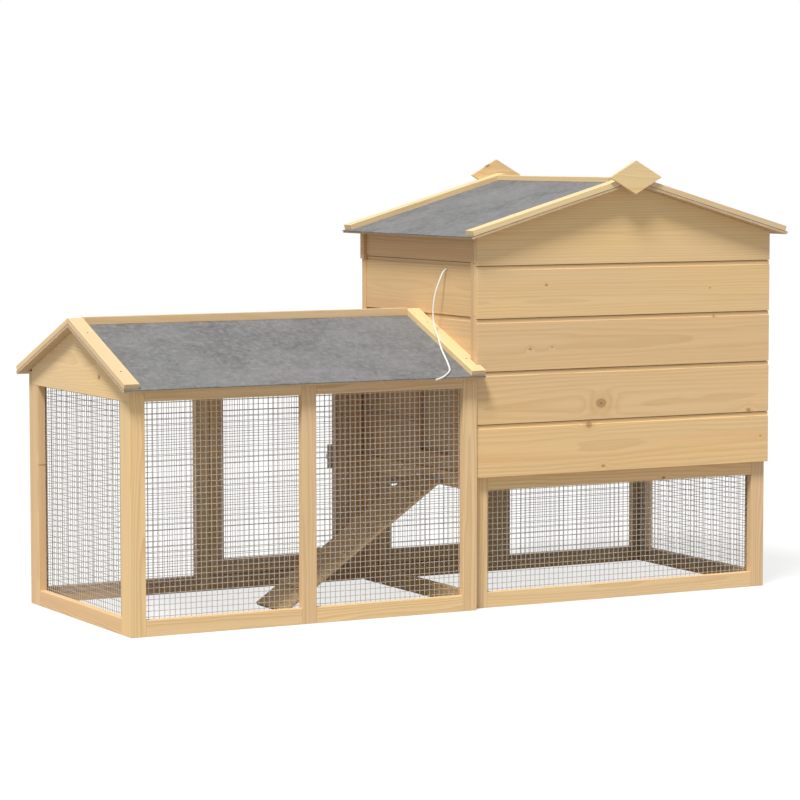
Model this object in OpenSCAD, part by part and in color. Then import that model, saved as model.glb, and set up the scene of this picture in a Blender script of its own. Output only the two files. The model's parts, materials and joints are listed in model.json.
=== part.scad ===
// Two-level rabbit hutch: a mesh run with its own gabled roof, joined to a boarded house that
// stands over a meshed ground level. Doors, tray and bolts are at the rear (+Y).
// Millimetres, +Z up, X along the length with the house at +X, origin under the middle.

/* [Run] */
// Length of the run over its frames
run_l = 862; // [760:1:1000]
// Depth from the run's front face to its rear face
hutch_d = 594; // [520:1:700]
// Height of the top edge of the run's mesh openings
run_open_h = 514; // [470:1:600]
// Face height of the run's top rails
run_top_rail = 31; // [24:1:36]
// Roof pitch of the run, in degrees
run_pitch = 21.65; // [17:0.05:25]
// Reach of the run's roof past the front and rear walls
run_eave = 21; // [12:1:40]
// Reach of the run's roof past its left end
run_verge = 22; // [10:1:40]
// Distance from the left end to the middle stile of the run's long frames
mid_stile_x = 415; // [330:1:450]

/* [House] */
// Length of the house over its boards
house_l = 808; // [720:1:950]
// Height of the ground-level frames that carry the house
ground_h = 309; // [270:1:360]
// Height of the roof's underside at the ends of the front boards
house_wall_h = 862; // [820:1:1000]
// Roof pitch of the house, in degrees
house_pitch = 16; // [12:0.5:20]
// Reach of the house's roof past its side walls
house_eave = 32.5; // [15:0.5:45]
// Reach of the house's roof past the run's front face
house_verge = 26; // [12:1:40]
// Set-back of the front boards behind the run's front face
front_set = 4; // [2:0.5:12]
// Set-back of the rear frame behind the run's rear face
rear_set = 8; // [4:0.5:16]
// Height covered by one front board
board_cover = 121.6; // [105:0.1:135]
// Height covered by one side board
side_cover = 125.5; // [105:0.1:140]

/* [Timber] */
// Width of the frame laths
lath_w = 36; // [28:1:42]
// Thickness of the frame laths
lath_t = 18; // [15:0.5:20]
// Thickness of the front boards
board_t = 16; // [12:0.5:18]
// Thickness of the side boards
side_t = 14; // [12:0.5:16]
// Thickness of the roof sheets
sheet_t = 5; // [4:0.5:9]
// Thickness of the roofing felt
felt_t = 1.5; // [1:0.1:3]
// Thickness of the roof's edging planks
plank_t = 12; // [9:0.5:16]

/* [Wire mesh] */
// Spacing of the welded wires
wire_pitch = 12.7; // [10:0.1:26]
// Diameter of a wire
wire_d = 1; // [0.8:0.1:1.6]

/* [Doors] */
// Gap around each door
door_gap = 1.5; // [1:0.1:2.5]
// Width of the house doors' opening
house_bay = 338.5; // [280:0.5:400]
// Width of the stile beside the ground-level door
hinge_stile = 31; // [26:1:40]
// Travel of each bolt
bolt_travel = 20; // [14:1:20]

/* [Pop hole and ramp] */
// Distance of the pop hole's middle from the run's front face
pop_y = 225; // [190:1:270]
// Width of the pop hole
pop_w = 160; // [130:1:190]
// Height of the pop hole
pop_h = 160; // [130:1:190]
// Travel of the pop hole's door
pop_travel = 165; // [140:1:170]
// Slope of the ramp, in degrees
ramp_slope = 34.7; // [30:0.1:42]
// Width of the ramp
ramp_w = 150; // [120:1:180]
// Thickness of the ramp's board
ramp_t = 8; // [6:0.5:14]

/* [Tray] */
// Height of the tray's wooden front
tray_front_h = 35; // [30:1:45]
// Height of the tray's metal rim
tray_rim = 15; // [10:1:18]

/* [Hidden] */
$fn = 32;
eps = 0.1;

// Colours
fir = [0.87, 0.74, 0.55];
fir_light = [0.95, 0.86, 0.62];
fir_dark = [0.78, 0.62, 0.43];
plywood = [0.80, 0.68, 0.50];
felt_grey = [0.52, 0.53, 0.54];
zinc = [0.72, 0.73, 0.75];
cord_white = [0.95, 0.95, 0.93];

// Clearances
joint_gap = 0.2;
rest_gap = 0.3;
lay_gap = 0.02;
join_gap = 2;

// Main places, measured from the run's front left corner
rear_y = hutch_d;
run_right = run_l;
house_x = run_l + join_gap;
house_end = house_x + house_l;
house_mid = house_x + house_l / 2;
run_mid = hutch_d / 2;
total_l = run_verge + run_l + join_gap + house_l + house_eave;
centre_x = total_l / 2 - run_verge;

// Moves a piece from the run's corner to the origin under the middle of the hutch
module put() {
    translate([-centre_x, -run_mid, 0])
        children();
}

// A box between two corners
module bar(low, high) {
    translate(low)
        cube(high - low);
}

// An outline in X and Z, extruded from y0 to y1
module slab_xz(y0, y1) {
    translate([0, y1, 0])
        rotate([90, 0, 0])
            linear_extrude(y1 - y0)
                children();
}

// An outline in Y and Z, extruded from x0 to x1
module slab_yz(x0, x1) {
    translate([x0, 0, 0])
        rotate([90, 0, 90])
            linear_extrude(x1 - x0)
                children();
}

// ---------------------------------------------------------------- roof heights
roof_t = sheet_t + felt_t + plank_t;
// Height of the run roof's underside above the ground at depth y
function run_under(y) = run_open_h + run_top_rail + tan(run_pitch) * (run_mid - abs(y - run_mid));
// Height of the house roof's underside at length x
function house_under(x) = house_wall_h + tan(house_pitch) * (house_l / 2 - abs(x - house_mid));
run_ridge = run_under(run_mid);
house_ridge = house_under(house_mid);

// A roof layer's outline on one side of a ridge. s is 1 or -1, a the pitch, lift the layer's
// height above the underside and t its thickness, both square to the slope.
module slope_outline(mid, ridge, s, a, reach, lift, t) {
    low = ridge + lift / cos(a);
    high = ridge + (lift + t) / cos(a);
    tip_low = [mid + s * (reach + lift * sin(a)), low - tan(a) * (reach + lift * sin(a))];
    tip_high = tip_low + t * [s * sin(a), cos(a)];
    polygon([[mid, low], tip_low, tip_high, [mid, high]]);
}

// ---------------------------------------------------------------- welded wire mesh
// Mesh in the XZ plane: upright wires nearest to y, level wires behind them (dir 1 or -1)
module mesh_xz(x0, x1, z0, z1, y, dir) {
    columns = floor((x1 - x0) / wire_pitch);
    rows = floor((z1 - z0) / wire_pitch);
    start_x = (x0 + x1 - columns * wire_pitch) / 2;
    start_z = (z0 + z1 - rows * wire_pitch) / 2;
    for (i = [0 : columns])
        translate([start_x + i * wire_pitch, y + dir * (wire_d / 2 + eps), z0])
            cylinder(h = z1 - z0, d = wire_d);
    for (i = [0 : rows])
        translate([x0, y + dir * (1.5 * wire_d + 2 * eps), start_z + i * wire_pitch])
            rotate([0, 90, 0])
                cylinder(h = x1 - x0, d = wire_d);
}

// Mesh in the YZ plane: upright wires nearest to x
module mesh_yz(y0, y1, z0, z1, x, dir) {
    columns = floor((y1 - y0) / wire_pitch);
    rows = floor((z1 - z0) / wire_pitch);
    start_y = (y0 + y1 - columns * wire_pitch) / 2;
    start_z = (z0 + z1 - rows * wire_pitch) / 2;
    for (i = [0 : columns])
        translate([x + dir * (wire_d / 2 + eps), start_y + i * wire_pitch, z0])
            cylinder(h = z1 - z0, d = wire_d);
    for (i = [0 : rows])
        translate([x + dir * (1.5 * wire_d + 2 * eps), y0, start_z + i * wire_pitch])
            rotate([-90, 0, 0])
                cylinder(h = y1 - y0, d = wire_d);
}

// How far a mesh sheet laps over the laths that carry it
mesh_lap = 14;
mesh_corner = lath_t + 2 * wire_d + 4 * eps + 1;

// ---------------------------------------------------------------- run
right_stile = run_right - lath_w;
mid_stile_end = mid_stile_x + lath_w;
run_top = run_open_h + run_top_rail;

module run_long_laths(y0, y1, stiles, rails) {
    for (x = stiles)
        bar([x, y0, 0], [x + lath_w, y1, run_top]);
    for (r = rails) {
        bar([r[0] + joint_gap, y0, 0], [r[1] - joint_gap, y1, lath_w]);
        bar([r[0] + joint_gap, y0, run_open_h], [r[1] - joint_gap, y1, run_top]);
    }
}

run_stiles = [0, mid_stile_x, right_stile];
run_bays = [[lath_w, mid_stile_x], [mid_stile_end, right_stile]];

module run_front_frame() {
    color(fir)
        put()
            run_long_laths(0, lath_t, run_stiles, run_bays);
}

module run_rear_frame() {
    color(fir)
        put()
            run_long_laths(rear_y - lath_t, rear_y, run_stiles, run_bays);
}

module run_end_frame() {
    inner = rear_y - lath_t - joint_gap;
    color(fir)
        put() {
            bar([0, lath_t + joint_gap, 0], [lath_t, lath_t + lath_w, run_open_h]);
            bar([0, rear_y - lath_t - lath_w, 0], [lath_t, inner, run_open_h]);
            bar([0, lath_t + lath_w + joint_gap, 0],
                [lath_t, rear_y - lath_t - lath_w - joint_gap, lath_w]);
        }
}

// The run's gable: its foot fits between the long frames
module run_gable_board() {
    foot_a = lath_t + joint_gap;
    foot_b = rear_y - lath_t - joint_gap;
    color(fir)
        put()
            slab_yz(0, lath_t)
                polygon([[foot_a, run_open_h + joint_gap], [foot_b, run_open_h + joint_gap],
                    [foot_b, run_under(foot_b) - rest_gap], [run_mid, run_ridge - rest_gap],
                    [foot_a, run_under(foot_a) - rest_gap]]);
}

module run_front_mesh() {
    color(zinc)
        put()
            mesh_xz(mesh_corner, run_right - lath_w + mesh_lap,
                lath_w - mesh_lap, run_open_h + mesh_lap, lath_t, 1);
}

module run_end_mesh() {
    color(zinc)
        put()
            mesh_yz(mesh_corner, rear_y - mesh_corner,
                lath_w - mesh_lap, run_open_h + mesh_lap, lath_t, 1);
}

module run_rear_mesh() {
    color(zinc)
        put()
            mesh_xz(mesh_corner, mid_stile_x + mesh_lap,
                lath_w - mesh_lap, run_open_h + mesh_lap, rear_y - lath_t, -1);
}

// ---------------------------------------------------------------- run roof
plank_w = lath_w;
run_reach = run_mid + run_eave;
roof_left = -run_verge;
// The roof's right end laps past the corners of the house and stops at its side wall
wall_inset = 8;
roof_right = house_x + wall_inset - rest_gap;
corner_clear = 1;

// The two ends of the house's front and rear walls, with room around them
module house_corner_room() {
    bar([house_x - corner_clear, front_set - corner_clear, 0],
        [house_x + lath_w, front_set + board_t + batten_t + corner_clear, house_wall_h]);
    bar([house_x - corner_clear, house_rear_in - corner_clear, 0],
        [house_x + lath_w, house_rear_out + corner_clear, house_wall_h]);
}

module run_roof_layer(x0, x1, s, reach, lift, t) {
    difference() {
        slab_yz(x0, x1)
            slope_outline(run_mid, run_ridge, s, run_pitch, reach, lift, t);
        house_corner_room();
        screw_holes_run(s, screw_d / 2 + 0.15);
    }
}

module run_roof_front_sheet() {
    color(plywood)
        put()
            run_roof_layer(roof_left, roof_right, -1, run_reach, 0, sheet_t);
}

module run_roof_rear_sheet() {
    color(plywood)
        put()
            run_roof_layer(roof_left, roof_right, 1, run_reach, 0, sheet_t);
}

// One sheet of felt, folded over the ridge
module run_felt() {
    color(felt_grey)
        put()
            for (s = [-1, 1])
                run_roof_layer(roof_left, roof_right, s, run_reach + 2, sheet_t + lay_gap, felt_t);
}

module run_roof_planks() {
    for (s = [-1, 1])
        for (x = [roof_left, roof_right - plank_w])
            color(fir_light)
                put()
                    difference() {
                        run_roof_layer(x, x + plank_w, s, run_reach - 3, sheet_t + felt_t + 2 * lay_gap,
                            plank_t);
                        bar([x - 1, run_mid - joint_gap / 2, 0],
                            [x + plank_w + 1, run_mid + joint_gap / 2, 2 * run_ridge]);
                        screw_sinks_run(s);
                    }
}

// Ridge lath between the planks, grooved underneath to sit over the fold of the felt
run_ridge_half = 9;
module run_ridge_strip() {
    felt_top = run_ridge + (sheet_t + felt_t) / cos(run_pitch) + joint_gap;
    top = run_ridge + roof_t / cos(run_pitch) + 1.5;
    low = felt_top - run_ridge_half * tan(run_pitch);
    color(fir_dark)
        put()
            slab_yz(roof_left + plank_w + joint_gap, roof_right - plank_w - joint_gap)
                polygon([[run_mid, felt_top], [run_mid + run_ridge_half, low],
                    [run_mid + run_ridge_half, top], [run_mid - run_ridge_half, top],
                    [run_mid - run_ridge_half, low]]);
}

// ---------------------------------------------------------------- ground level of the house
frame_x = house_x + 2;
ground_front = front_set + board_t + 0.5;
ground_back = ground_front + lath_t;
ground_rear_out = rear_y - ground_front;
ground_rear_in = ground_rear_out - lath_t;
ground_top = ground_h - lath_w;
ground_door_x = frame_x + hinge_stile;
bay_end = ground_door_x + house_bay + joint_gap;
last_stile = house_end - lath_w;

module ground_front_frame() {
    color(fir)
        put() {
            bar([frame_x, ground_front, 0], [frame_x + lath_w, ground_back, ground_h]);
            bar([last_stile, ground_front, 0], [house_end, ground_back, ground_h]);
            for (z = [0, ground_top])
                bar([frame_x + lath_w + joint_gap, ground_front, z],
                    [last_stile - joint_gap, ground_back, z + lath_w]);
        }
}

module ground_end_frame() {
    a = ground_back + joint_gap;
    b = ground_rear_in - joint_gap;
    color(fir)
        put() {
            bar([house_end - lath_t, a, 0], [house_end, a + lath_w, ground_h]);
            bar([house_end - lath_t, b - lath_w, 0], [house_end, b, ground_h]);
            for (z = [0, ground_top])
                bar([house_end - lath_t, a + lath_w + joint_gap, z],
                    [house_end, b - lath_w - joint_gap, z + lath_w]);
        }
}

// Rear frame: a door bay beside the run and a fixed mesh bay
module ground_rear_frame() {
    color(fir)
        put() {
            bar([frame_x, ground_rear_in, 0], [ground_door_x, ground_rear_out, ground_h]);
            bar([bay_end, ground_rear_in, 0], [bay_end + lath_w, ground_rear_out, ground_h]);
            bar([last_stile, ground_rear_in, 0], [house_end, ground_rear_out, ground_h]);
            for (z = [0, ground_top]) {
                bar([ground_door_x + joint_gap, ground_rear_in, z],
                    [bay_end - joint_gap, ground_rear_out, z + lath_w]);
                bar([bay_end + lath_w + joint_gap, ground_rear_in, z],
                    [last_stile - joint_gap, ground_rear_out, z + lath_w]);
            }
        }
}

module partition_rails() {
    color(fir)
        put()
            for (z = [0, ground_top])
                bar([frame_x, ground_back + joint_gap, z],
                    [frame_x + lath_t, ground_rear_in - joint_gap, z + lath_w]);
}

// Cover strip outside, over the upright joint between the run's and the house's rear frames
cover_lap = 10;
module rear_cover_strip() {
    color(fir)
        put()
            bar([run_right + joint_gap, house_rear_out + joint_gap, 0],
                [frame_x + cover_lap, rear_y, run_open_h + run_top_rail - rest_gap]);
}

module ground_front_mesh() {
    color(zinc)
        put()
            mesh_xz(frame_x + lath_w - mesh_lap, house_end - mesh_corner,
                lath_w - mesh_lap, ground_top + mesh_lap, ground_back, 1);
}

module ground_end_mesh() {
    color(zinc)
        put()
            mesh_yz(ground_back + mesh_corner - lath_t, ground_rear_in - mesh_corner + lath_t,
                lath_w - mesh_lap, ground_top + mesh_lap, house_end - lath_t, -1);
}

module ground_rear_mesh() {
    color(zinc)
        put()
            mesh_xz(bay_end + lath_w - mesh_lap, house_end - mesh_corner,
                lath_w - mesh_lap, ground_top + mesh_lap, ground_rear_in, -1);
}

// ---------------------------------------------------------------- house walls
batten_t = 14;
house_front_in = front_set + board_t + batten_t;
house_rear_out = rear_y - rear_set;
house_rear_in = house_rear_out - lath_t;
house_base = ground_h + rest_gap;
board_lap = 4;
boards_z = ground_h - board_lap;
gable_z = boards_z + 4 * board_cover;
wall_left = house_x + wall_inset;
wall_right = house_end - wall_inset;
tongue = 6;
shadow_h = 9;
shadow_d = 2.5;

// A lapped board's section: u runs inward from the outer face, v upward. Its tongue rises
// behind the next board and its top outer edge is cut back to a shadow line.
module board_outline(low, high, t, first, last) {
    bottom = low + (first ? 0 : 0.7);
    step = t / 2;
    back_low = low + (first ? 0 : tongue + 0.5);
    back_high = high + (last ? 0 : tongue);
    top = high - (last ? 0 : 0.7);
    cut_z = last ? top - 1 : top - shadow_h;
    cut_d = last ? 0 : shadow_d;
    polygon([[0, bottom], [step, bottom], [step, back_low], [t, back_low], [t, back_high],
        [step + 0.3, back_high], [step + 0.3, top], [cut_d, top], [cut_d, cut_z], [0, cut_z]]);
}

// Outline of the house's gable, up to just under the roof
module gable_outline(low, x0, x1) {
    polygon([[x0, low], [x1, low], [x1, house_under(x1) - rest_gap],
        [house_mid, house_ridge - rest_gap], [x0, house_under(x0) - rest_gap]]);
}

module house_front_boards() {
    for (i = [0 : 4])
        color(i % 2 == 0 ? fir : [0.85, 0.71, 0.52])
            put()
                intersection() {
                    translate([0, front_set, 0])
                        slab_yz(house_x, house_end)
                            board_outline(boards_z + i * board_cover,
                                i == 4 ? house_ridge + 10 : boards_z + (i + 1) * board_cover,
                                board_t, i == 0, i == 4);
                    slab_xz(front_set - 1, front_set + board_t + 1)
                        gable_outline(boards_z, house_x, house_end);
                }
}

// Height covered by the lowest side board
side_first = 112.5;
side_low = house_front_in + joint_gap;
side_high = house_rear_in - joint_gap;
side_top = house_under(wall_left) - 1;
cord_hole_y = 163;
cord_hole_z = 780;
cord_hole_d = 7;

// Side boards with the outer face at x = 0, inward along +X
module side_boards() {
    starts = [house_base, for (i = [0 : 3]) house_base + side_first + i * side_cover, side_top];
    for (i = [0 : 4])
        slab_xz(side_low, side_high)
            board_outline(starts[i], starts[i + 1], side_t, i == 0, i == 4);
}

pop_z = ground_h + 36;

module house_left_boards() {
    color(fir)
        put()
            difference() {
                translate([wall_left, 0, 0])
                    side_boards();
                bar([wall_left - 5, pop_y - pop_w / 2, pop_z],
                    [wall_left + side_t + 5, pop_y + pop_w / 2, pop_z + pop_h]);
                translate([wall_left - 5, cord_hole_y, cord_hole_z])
                    rotate([0, 90, 0])
                        cylinder(h = side_t + 10, d = cord_hole_d);
            }
}

module house_right_boards() {
    color(fir)
        put()
            translate([wall_right, 0, 0])
                mirror([1, 0, 0])
                    side_boards();
}

// Upright battens behind the front boards: at both corners and in the middle
module house_wall_battens() {
    y0 = front_set + board_t + joint_gap;
    y1 = front_set + board_t + batten_t;
    color(fir_dark)
        put() {
            bar([house_x, y0, house_base],
                [house_x + lath_w, y1, house_under(house_x) - rest_gap]);
            bar([house_end - lath_w, y0, house_base],
                [house_end, y1, house_under(house_end) - rest_gap]);
            bar([house_mid - lath_w / 2, y0, house_base],
                [house_mid + lath_w / 2, y1, house_under(house_mid - lath_w / 2) - rest_gap]);
        }
}

rear_inset = 5;
rear_stile_in = house_x + rear_inset + lath_w;
rear_stile_out = house_end - rear_inset - lath_w;
tray_z = house_base + 0.7;
tray_rail_z = tray_z + tray_front_h + 1.5;
tray_rail_h = 24;
door_bay_z = tray_rail_z + tray_rail_h;
top_rail_z = gable_z - lath_w - rest_gap;
mid_post_x = bay_end;

module house_rear_frame() {
    color(fir)
        put() {
            bar([house_x + rear_inset, house_rear_in, house_base],
                [rear_stile_in, house_rear_out, gable_z - rest_gap]);
            bar([rear_stile_out, house_rear_in, house_base],
                [house_end - rear_inset, house_rear_out, gable_z - rest_gap]);
            bar([rear_stile_in + joint_gap, house_rear_in, tray_rail_z],
                [rear_stile_out - joint_gap, house_rear_out, door_bay_z]);
            bar([rear_stile_in + joint_gap, house_rear_in, top_rail_z],
                [rear_stile_out - joint_gap, house_rear_out, gable_z - rest_gap]);
            bar([mid_post_x, house_rear_in, door_bay_z + joint_gap],
                [mid_post_x + lath_w, house_rear_out, top_rail_z - joint_gap]);
        }
}

// Boards set back in a frame: three equal boards between x0 and x1
panel_t = 9;
panel_set = 5;
module panel_boards(x0, x1, z0, z1) {
    h = (z1 - z0) / 3;
    for (i = [0 : 2])
        translate([0, house_rear_out - panel_set, 0])
            mirror([0, 1, 0])
                slab_yz(x0, x1)
                    board_outline(z0 + i * h, z0 + (i + 1) * h, panel_t, i == 0, i == 2);
}

module house_rear_boards() {
    color(fir)
        put()
            panel_boards(mid_post_x + lath_w + joint_gap, rear_stile_out - joint_gap,
                door_bay_z + joint_gap, top_rail_z - joint_gap);
}

module house_rear_gable() {
    color(fir)
        put()
            slab_xz(house_rear_in, house_rear_out)
                gable_outline(gable_z, house_x, house_end);
}

module house_floor() {
    color(plywood)
        put()
            bar([wall_left + side_t + joint_gap, house_front_in + joint_gap, house_base],
                [wall_right - side_t - joint_gap, house_rear_in - joint_gap,
                    house_base + sheet_t]);
}

// ---------------------------------------------------------------- house roof
house_reach = house_l / 2 + house_eave;
house_plank_reach = house_reach - 10;
roof_front = -house_verge;
roof_rear = rear_y + house_verge;

module house_roof_layer(y0, y1, s, reach, lift, t) {
    difference() {
        slab_xz(y0, y1)
            slope_outline(house_mid, house_ridge, s, house_pitch, reach, lift, t);
        screw_holes_house(s, screw_d / 2 + 0.15);
    }
}

module house_roof_left_sheet() {
    color(plywood)
        put()
            house_roof_layer(roof_front, roof_rear, -1, house_reach - 4, 0, sheet_t);
}

module house_roof_right_sheet() {
    color(plywood)
        put()
            house_roof_layer(roof_front, roof_rear, 1, house_reach - 4, 0, sheet_t);
}

module house_felt() {
    color(felt_grey)
        put()
            for (s = [-1, 1])
                house_roof_layer(roof_front, roof_rear, s,
                    house_reach - (sheet_t + felt_t) * sin(house_pitch), sheet_t + lay_gap,
                    felt_t);
}

module house_roof_planks() {
    for (s = [-1, 1])
        for (y = [roof_front, roof_rear - plank_w])
            color(fir_light)
                put()
                    difference() {
                        house_roof_layer(y, y + plank_w, s, house_plank_reach,
                            sheet_t + felt_t + 2 * lay_gap, plank_t);
                        bar([house_mid - joint_gap / 2, y - 1, 0],
                            [house_mid + joint_gap / 2, y + plank_w + 1, 2 * house_ridge]);
                        screw_sinks_house(s);
                    }
}

house_ridge_half = 18;
house_ridge_rise = 7;
module house_ridge_strip() {
    felt_top = house_ridge + (sheet_t + felt_t) / cos(house_pitch) + joint_gap;
    low = felt_top - house_ridge_half * tan(house_pitch);
    top = felt_top + house_ridge_rise;
    color(fir_dark)
        put()
            slab_xz(roof_front + plank_w + joint_gap, roof_rear - plank_w - joint_gap)
                polygon([[house_mid, felt_top], [house_mid + house_ridge_half, low],
                    [house_mid + house_ridge_half, top], [house_mid - house_ridge_half, top],
                    [house_mid - house_ridge_half, low]]);
}

// Rhombus plates that cover the joint of the planks at both gables
diamond_w = 142;
diamond_h = 79;
diamond_t = 8;
module gable_diamonds() {
    centre_z = house_ridge + roof_t / cos(house_pitch) - 4.5;
    color(fir)
        put()
            for (y = [roof_front - diamond_t - joint_gap, roof_rear + joint_gap])
                slab_xz(y, y + diamond_t)
                    polygon([[house_mid - diamond_w / 2, centre_z],
                        [house_mid, centre_z - diamond_h / 2],
                        [house_mid + diamond_w / 2, centre_z],
                        [house_mid, centre_z + diamond_h / 2]]);
}

// ---------------------------------------------------------------- roof screws
screw_d = 3.5;
screw_head = 7.5;
screw_sink = 3;
screw_l = roof_t + 1;
run_screw_at = [0.21, 0.80];
house_screw_at = [0.18, 0.72];

// Stands its children on the plank tops of the run, square to the slope on side s
module at_run_screws(s) {
    for (x = [roof_left + plank_w / 2, roof_right - plank_w / 2])
        for (f = run_screw_at)
            translate([x, run_mid, run_ridge])
                rotate([-s * run_pitch, 0, 0])
                    translate([0, s * f * run_reach / cos(run_pitch), roof_t])
                        children();
}

module at_house_screws(s) {
    for (y = [roof_front + plank_w / 2, roof_rear - plank_w / 2])
        for (f = house_screw_at)
            translate([house_mid, y, house_ridge])
                rotate([0, s * house_pitch, 0])
                    translate([s * f * house_plank_reach / cos(house_pitch), 0, roof_t])
                        children();
}

module screw_holes_run(s, r) {
    at_run_screws(s)
        translate([0, 0, -roof_t - 1])
            cylinder(h = roof_t + 2, r = r);
}

module screw_holes_house(s, r) {
    at_house_screws(s)
        translate([0, 0, -roof_t - 1])
            cylinder(h = roof_t + 2, r = r);
}

module sink() {
    translate([0, 0, -screw_sink])
        cylinder(h = screw_sink + 0.02, d1 = screw_d, d2 = screw_head + 0.4);
}

module screw_sinks_run(s) {
    at_run_screws(s)
        sink();
}

module screw_sinks_house(s) {
    at_house_screws(s)
        sink();
}

module roof_screw() {
    translate([0, 0, -screw_sink])
        cylinder(h = screw_sink - 0.4, d1 = screw_d, d2 = screw_head - 0.6);
    translate([0, 0, -screw_l])
        cylinder(h = screw_l - screw_sink + 0.01, d = screw_d);
}

module roof_screws() {
    color(zinc)
        put()
            for (s = [-1, 1]) {
                at_run_screws(s)
                    roof_screw();
                at_house_screws(s)
                    roof_screw();
            }
}

// ---------------------------------------------------------------- door hardware
hinge_h = 52;
knuckle_r = 4;
pin_r = 1.5;
pin_clear = 0.05;
leaf_w = 24;
leaf_t = 1.2;
middle_h = 18;
knuckle_clear = 0.4;

// Each door: hinge axis (x, y), outer face, and the heights of its two hinges
run_hinge = [mid_stile_end + door_gap / 2, rear_y + knuckle_r];
run_hinge_z = [110, 440];
ground_hinge = [ground_door_x + door_gap / 2, ground_rear_out + knuckle_r];
ground_hinge_z = [80, 233];
house_hinge = [rear_stile_in + door_gap / 2, house_rear_out + knuckle_r];
house_hinge_z = [door_bay_z + 60, top_rail_z - 60];

// Fixed half of a butt hinge about its own axis: leaf, outer knuckles and riveted pin
module hinge_fixed_half(leaf = leaf_w) {
    difference() {
        union() {
            translate([-leaf, -knuckle_r + 0.05, -hinge_h / 2])
                cube([leaf - 0.4, leaf_t, hinge_h]);
            cylinder(h = hinge_h, r = knuckle_r - 0.3, center = true);
        }
        cylinder(h = middle_h, r = knuckle_r + 0.4, center = true);
        translate([0, 0, -hinge_h / 2 - 1])
            cylinder(h = hinge_h + 2, r = pin_r + pin_clear);
    }
    cylinder(h = hinge_h + 2, r = pin_r, center = true);
}

// Moving half: leaf and middle knuckle, turning on the pin
module hinge_moving_half() {
    gap = knuckle_clear;
    difference() {
        union() {
            difference() {
                translate([0.4, -knuckle_r + 0.05, -hinge_h / 2])
                    cube([leaf_w - 0.4, leaf_t, hinge_h]);
                for (s = [-1, 1])
                    translate([0, 0, s * hinge_h / 2])
                        cylinder(h = hinge_h - middle_h + 2 * gap, r = knuckle_r + 0.4,
                            center = true);
            }
            cylinder(h = middle_h - 2 * gap, r = knuckle_r - 0.3, center = true);
        }
        cylinder(h = hinge_h, r = pin_r + pin_clear, center = true);
    }
}

module at_hinges(axis, heights) {
    for (z = heights)
        translate([axis[0], axis[1], z])
            children();
}

module hinge_fixed_halves() {
    color(zinc)
        put() {
            at_hinges(run_hinge, run_hinge_z)
                hinge_fixed_half();
            at_hinges(ground_hinge, ground_hinge_z)
                hinge_fixed_half();
            at_hinges(house_hinge, house_hinge_z)
                hinge_fixed_half();
            at_ramp_hinges()
                rotate([0, 90, 0])
                    rotate([-90, 0, 0])
                        hinge_fixed_half(ramp_leaf);
        }
}

// Barrel bolt, drawn from the door's closing edge (x = 0) and outer face (y = 0)
bolt_r = 3;
bolt_y = 7;
bolt_slide_clear = 0.08;
keeper_clear = 0.6;
guide_w = 7;
guide_h = 12;
knob_r = 3;
knob_play = 6;
plate_w = bolt_travel + 2 * guide_w + 2 * knob_r + knob_play;
plate_h = 60;
plate_t = 1.5;
plate_edge = 2;
bolt_back = -plate_edge - plate_w + 1;
bolt_tip = -plate_edge - 0.5;
keeper_x = door_gap + 4;
keeper_w = 10;

module bolt_guide(x, w, clear) {
    difference() {
        translate([x, 0, -guide_h / 2])
            cube([w, bolt_y + bolt_r + 2, guide_h]);
        translate([x - 1, bolt_y, 0])
            rotate([0, 90, 0])
                cylinder(h = w + 2, r = bolt_r + clear);
    }
}

module bolt_plate() {
    translate([-plate_edge - plate_w, 0.1, -plate_h / 2])
        cube([plate_w, plate_t, plate_h]);
    for (x = [-plate_edge - plate_w + 2, -plate_edge - guide_w])
        translate([0, 0.1, 0])
            bolt_guide(x, guide_w, bolt_slide_clear);
}

module bolt_rod() {
    translate([bolt_back, bolt_y + 0.1, 0])
        rotate([0, 90, 0])
            cylinder(h = bolt_tip - bolt_back, r = bolt_r);
    translate([bolt_back + guide_w + knob_r + 2, bolt_y + 0.1, 0])
        rotate([-90, 0, 0])
            cylinder(h = 14, r = knob_r - 0.2);
}

module bolt_keeper() {
    translate([door_gap + 2, 0.1, -plate_h / 4])
        cube([keeper_w + 12, plate_t, plate_h / 2]);
    translate([0, 0.1, 0])
        bolt_guide(keeper_x, keeper_w, keeper_clear);
}

run_door_x = mid_stile_end + door_gap;
run_door_end = right_stile - door_gap;
ground_leaf_x = ground_door_x + door_gap;
ground_leaf_end = bay_end - door_gap;
house_leaf_x = rear_stile_in + door_gap;
house_leaf_end = mid_post_x - door_gap;
run_bolt_z = 307;
ground_bolt_z = ground_h / 2;
house_bolt_z = (door_bay_z + top_rail_z) / 2;

module bolt_keepers() {
    color(zinc)
        put() {
            translate([run_door_end, rear_y, run_bolt_z])
                bolt_keeper();
            translate([ground_leaf_end, ground_rear_out, ground_bolt_z])
                bolt_keeper();
            translate([house_leaf_end, house_rear_out, house_bolt_z])
                bolt_keeper();
        }
}

// A door of four laths between two corners in X and Z
module door_laths(x0, x1, z0, z1, y0, y1, stile) {
    for (x = [x0, x1 - stile])
        bar([x, y0, z0], [x + stile, y1, z1]);
    for (z = [z0, z1 - lath_w])
        bar([x0 + stile + joint_gap, y0, z], [x1 - stile - joint_gap, y1, z + lath_w]);
}

// Hinge halves and bolt plate of one door
module door_fittings(hinge, heights, closing_x, face_y, bolt_z) {
    at_hinges(hinge, heights)
        hinge_moving_half();
    translate([closing_x, face_y, bolt_z])
        bolt_plate();
}

// ---------------------------------------------------------------- run door
run_door_z = lath_w + door_gap;
run_door_top = run_open_h - door_gap;

module run_door_frame() {
    color(fir)
        put()
            door_laths(run_door_x, run_door_end, run_door_z, run_door_top,
                rear_y - lath_t, rear_y, lath_w);
}

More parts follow.
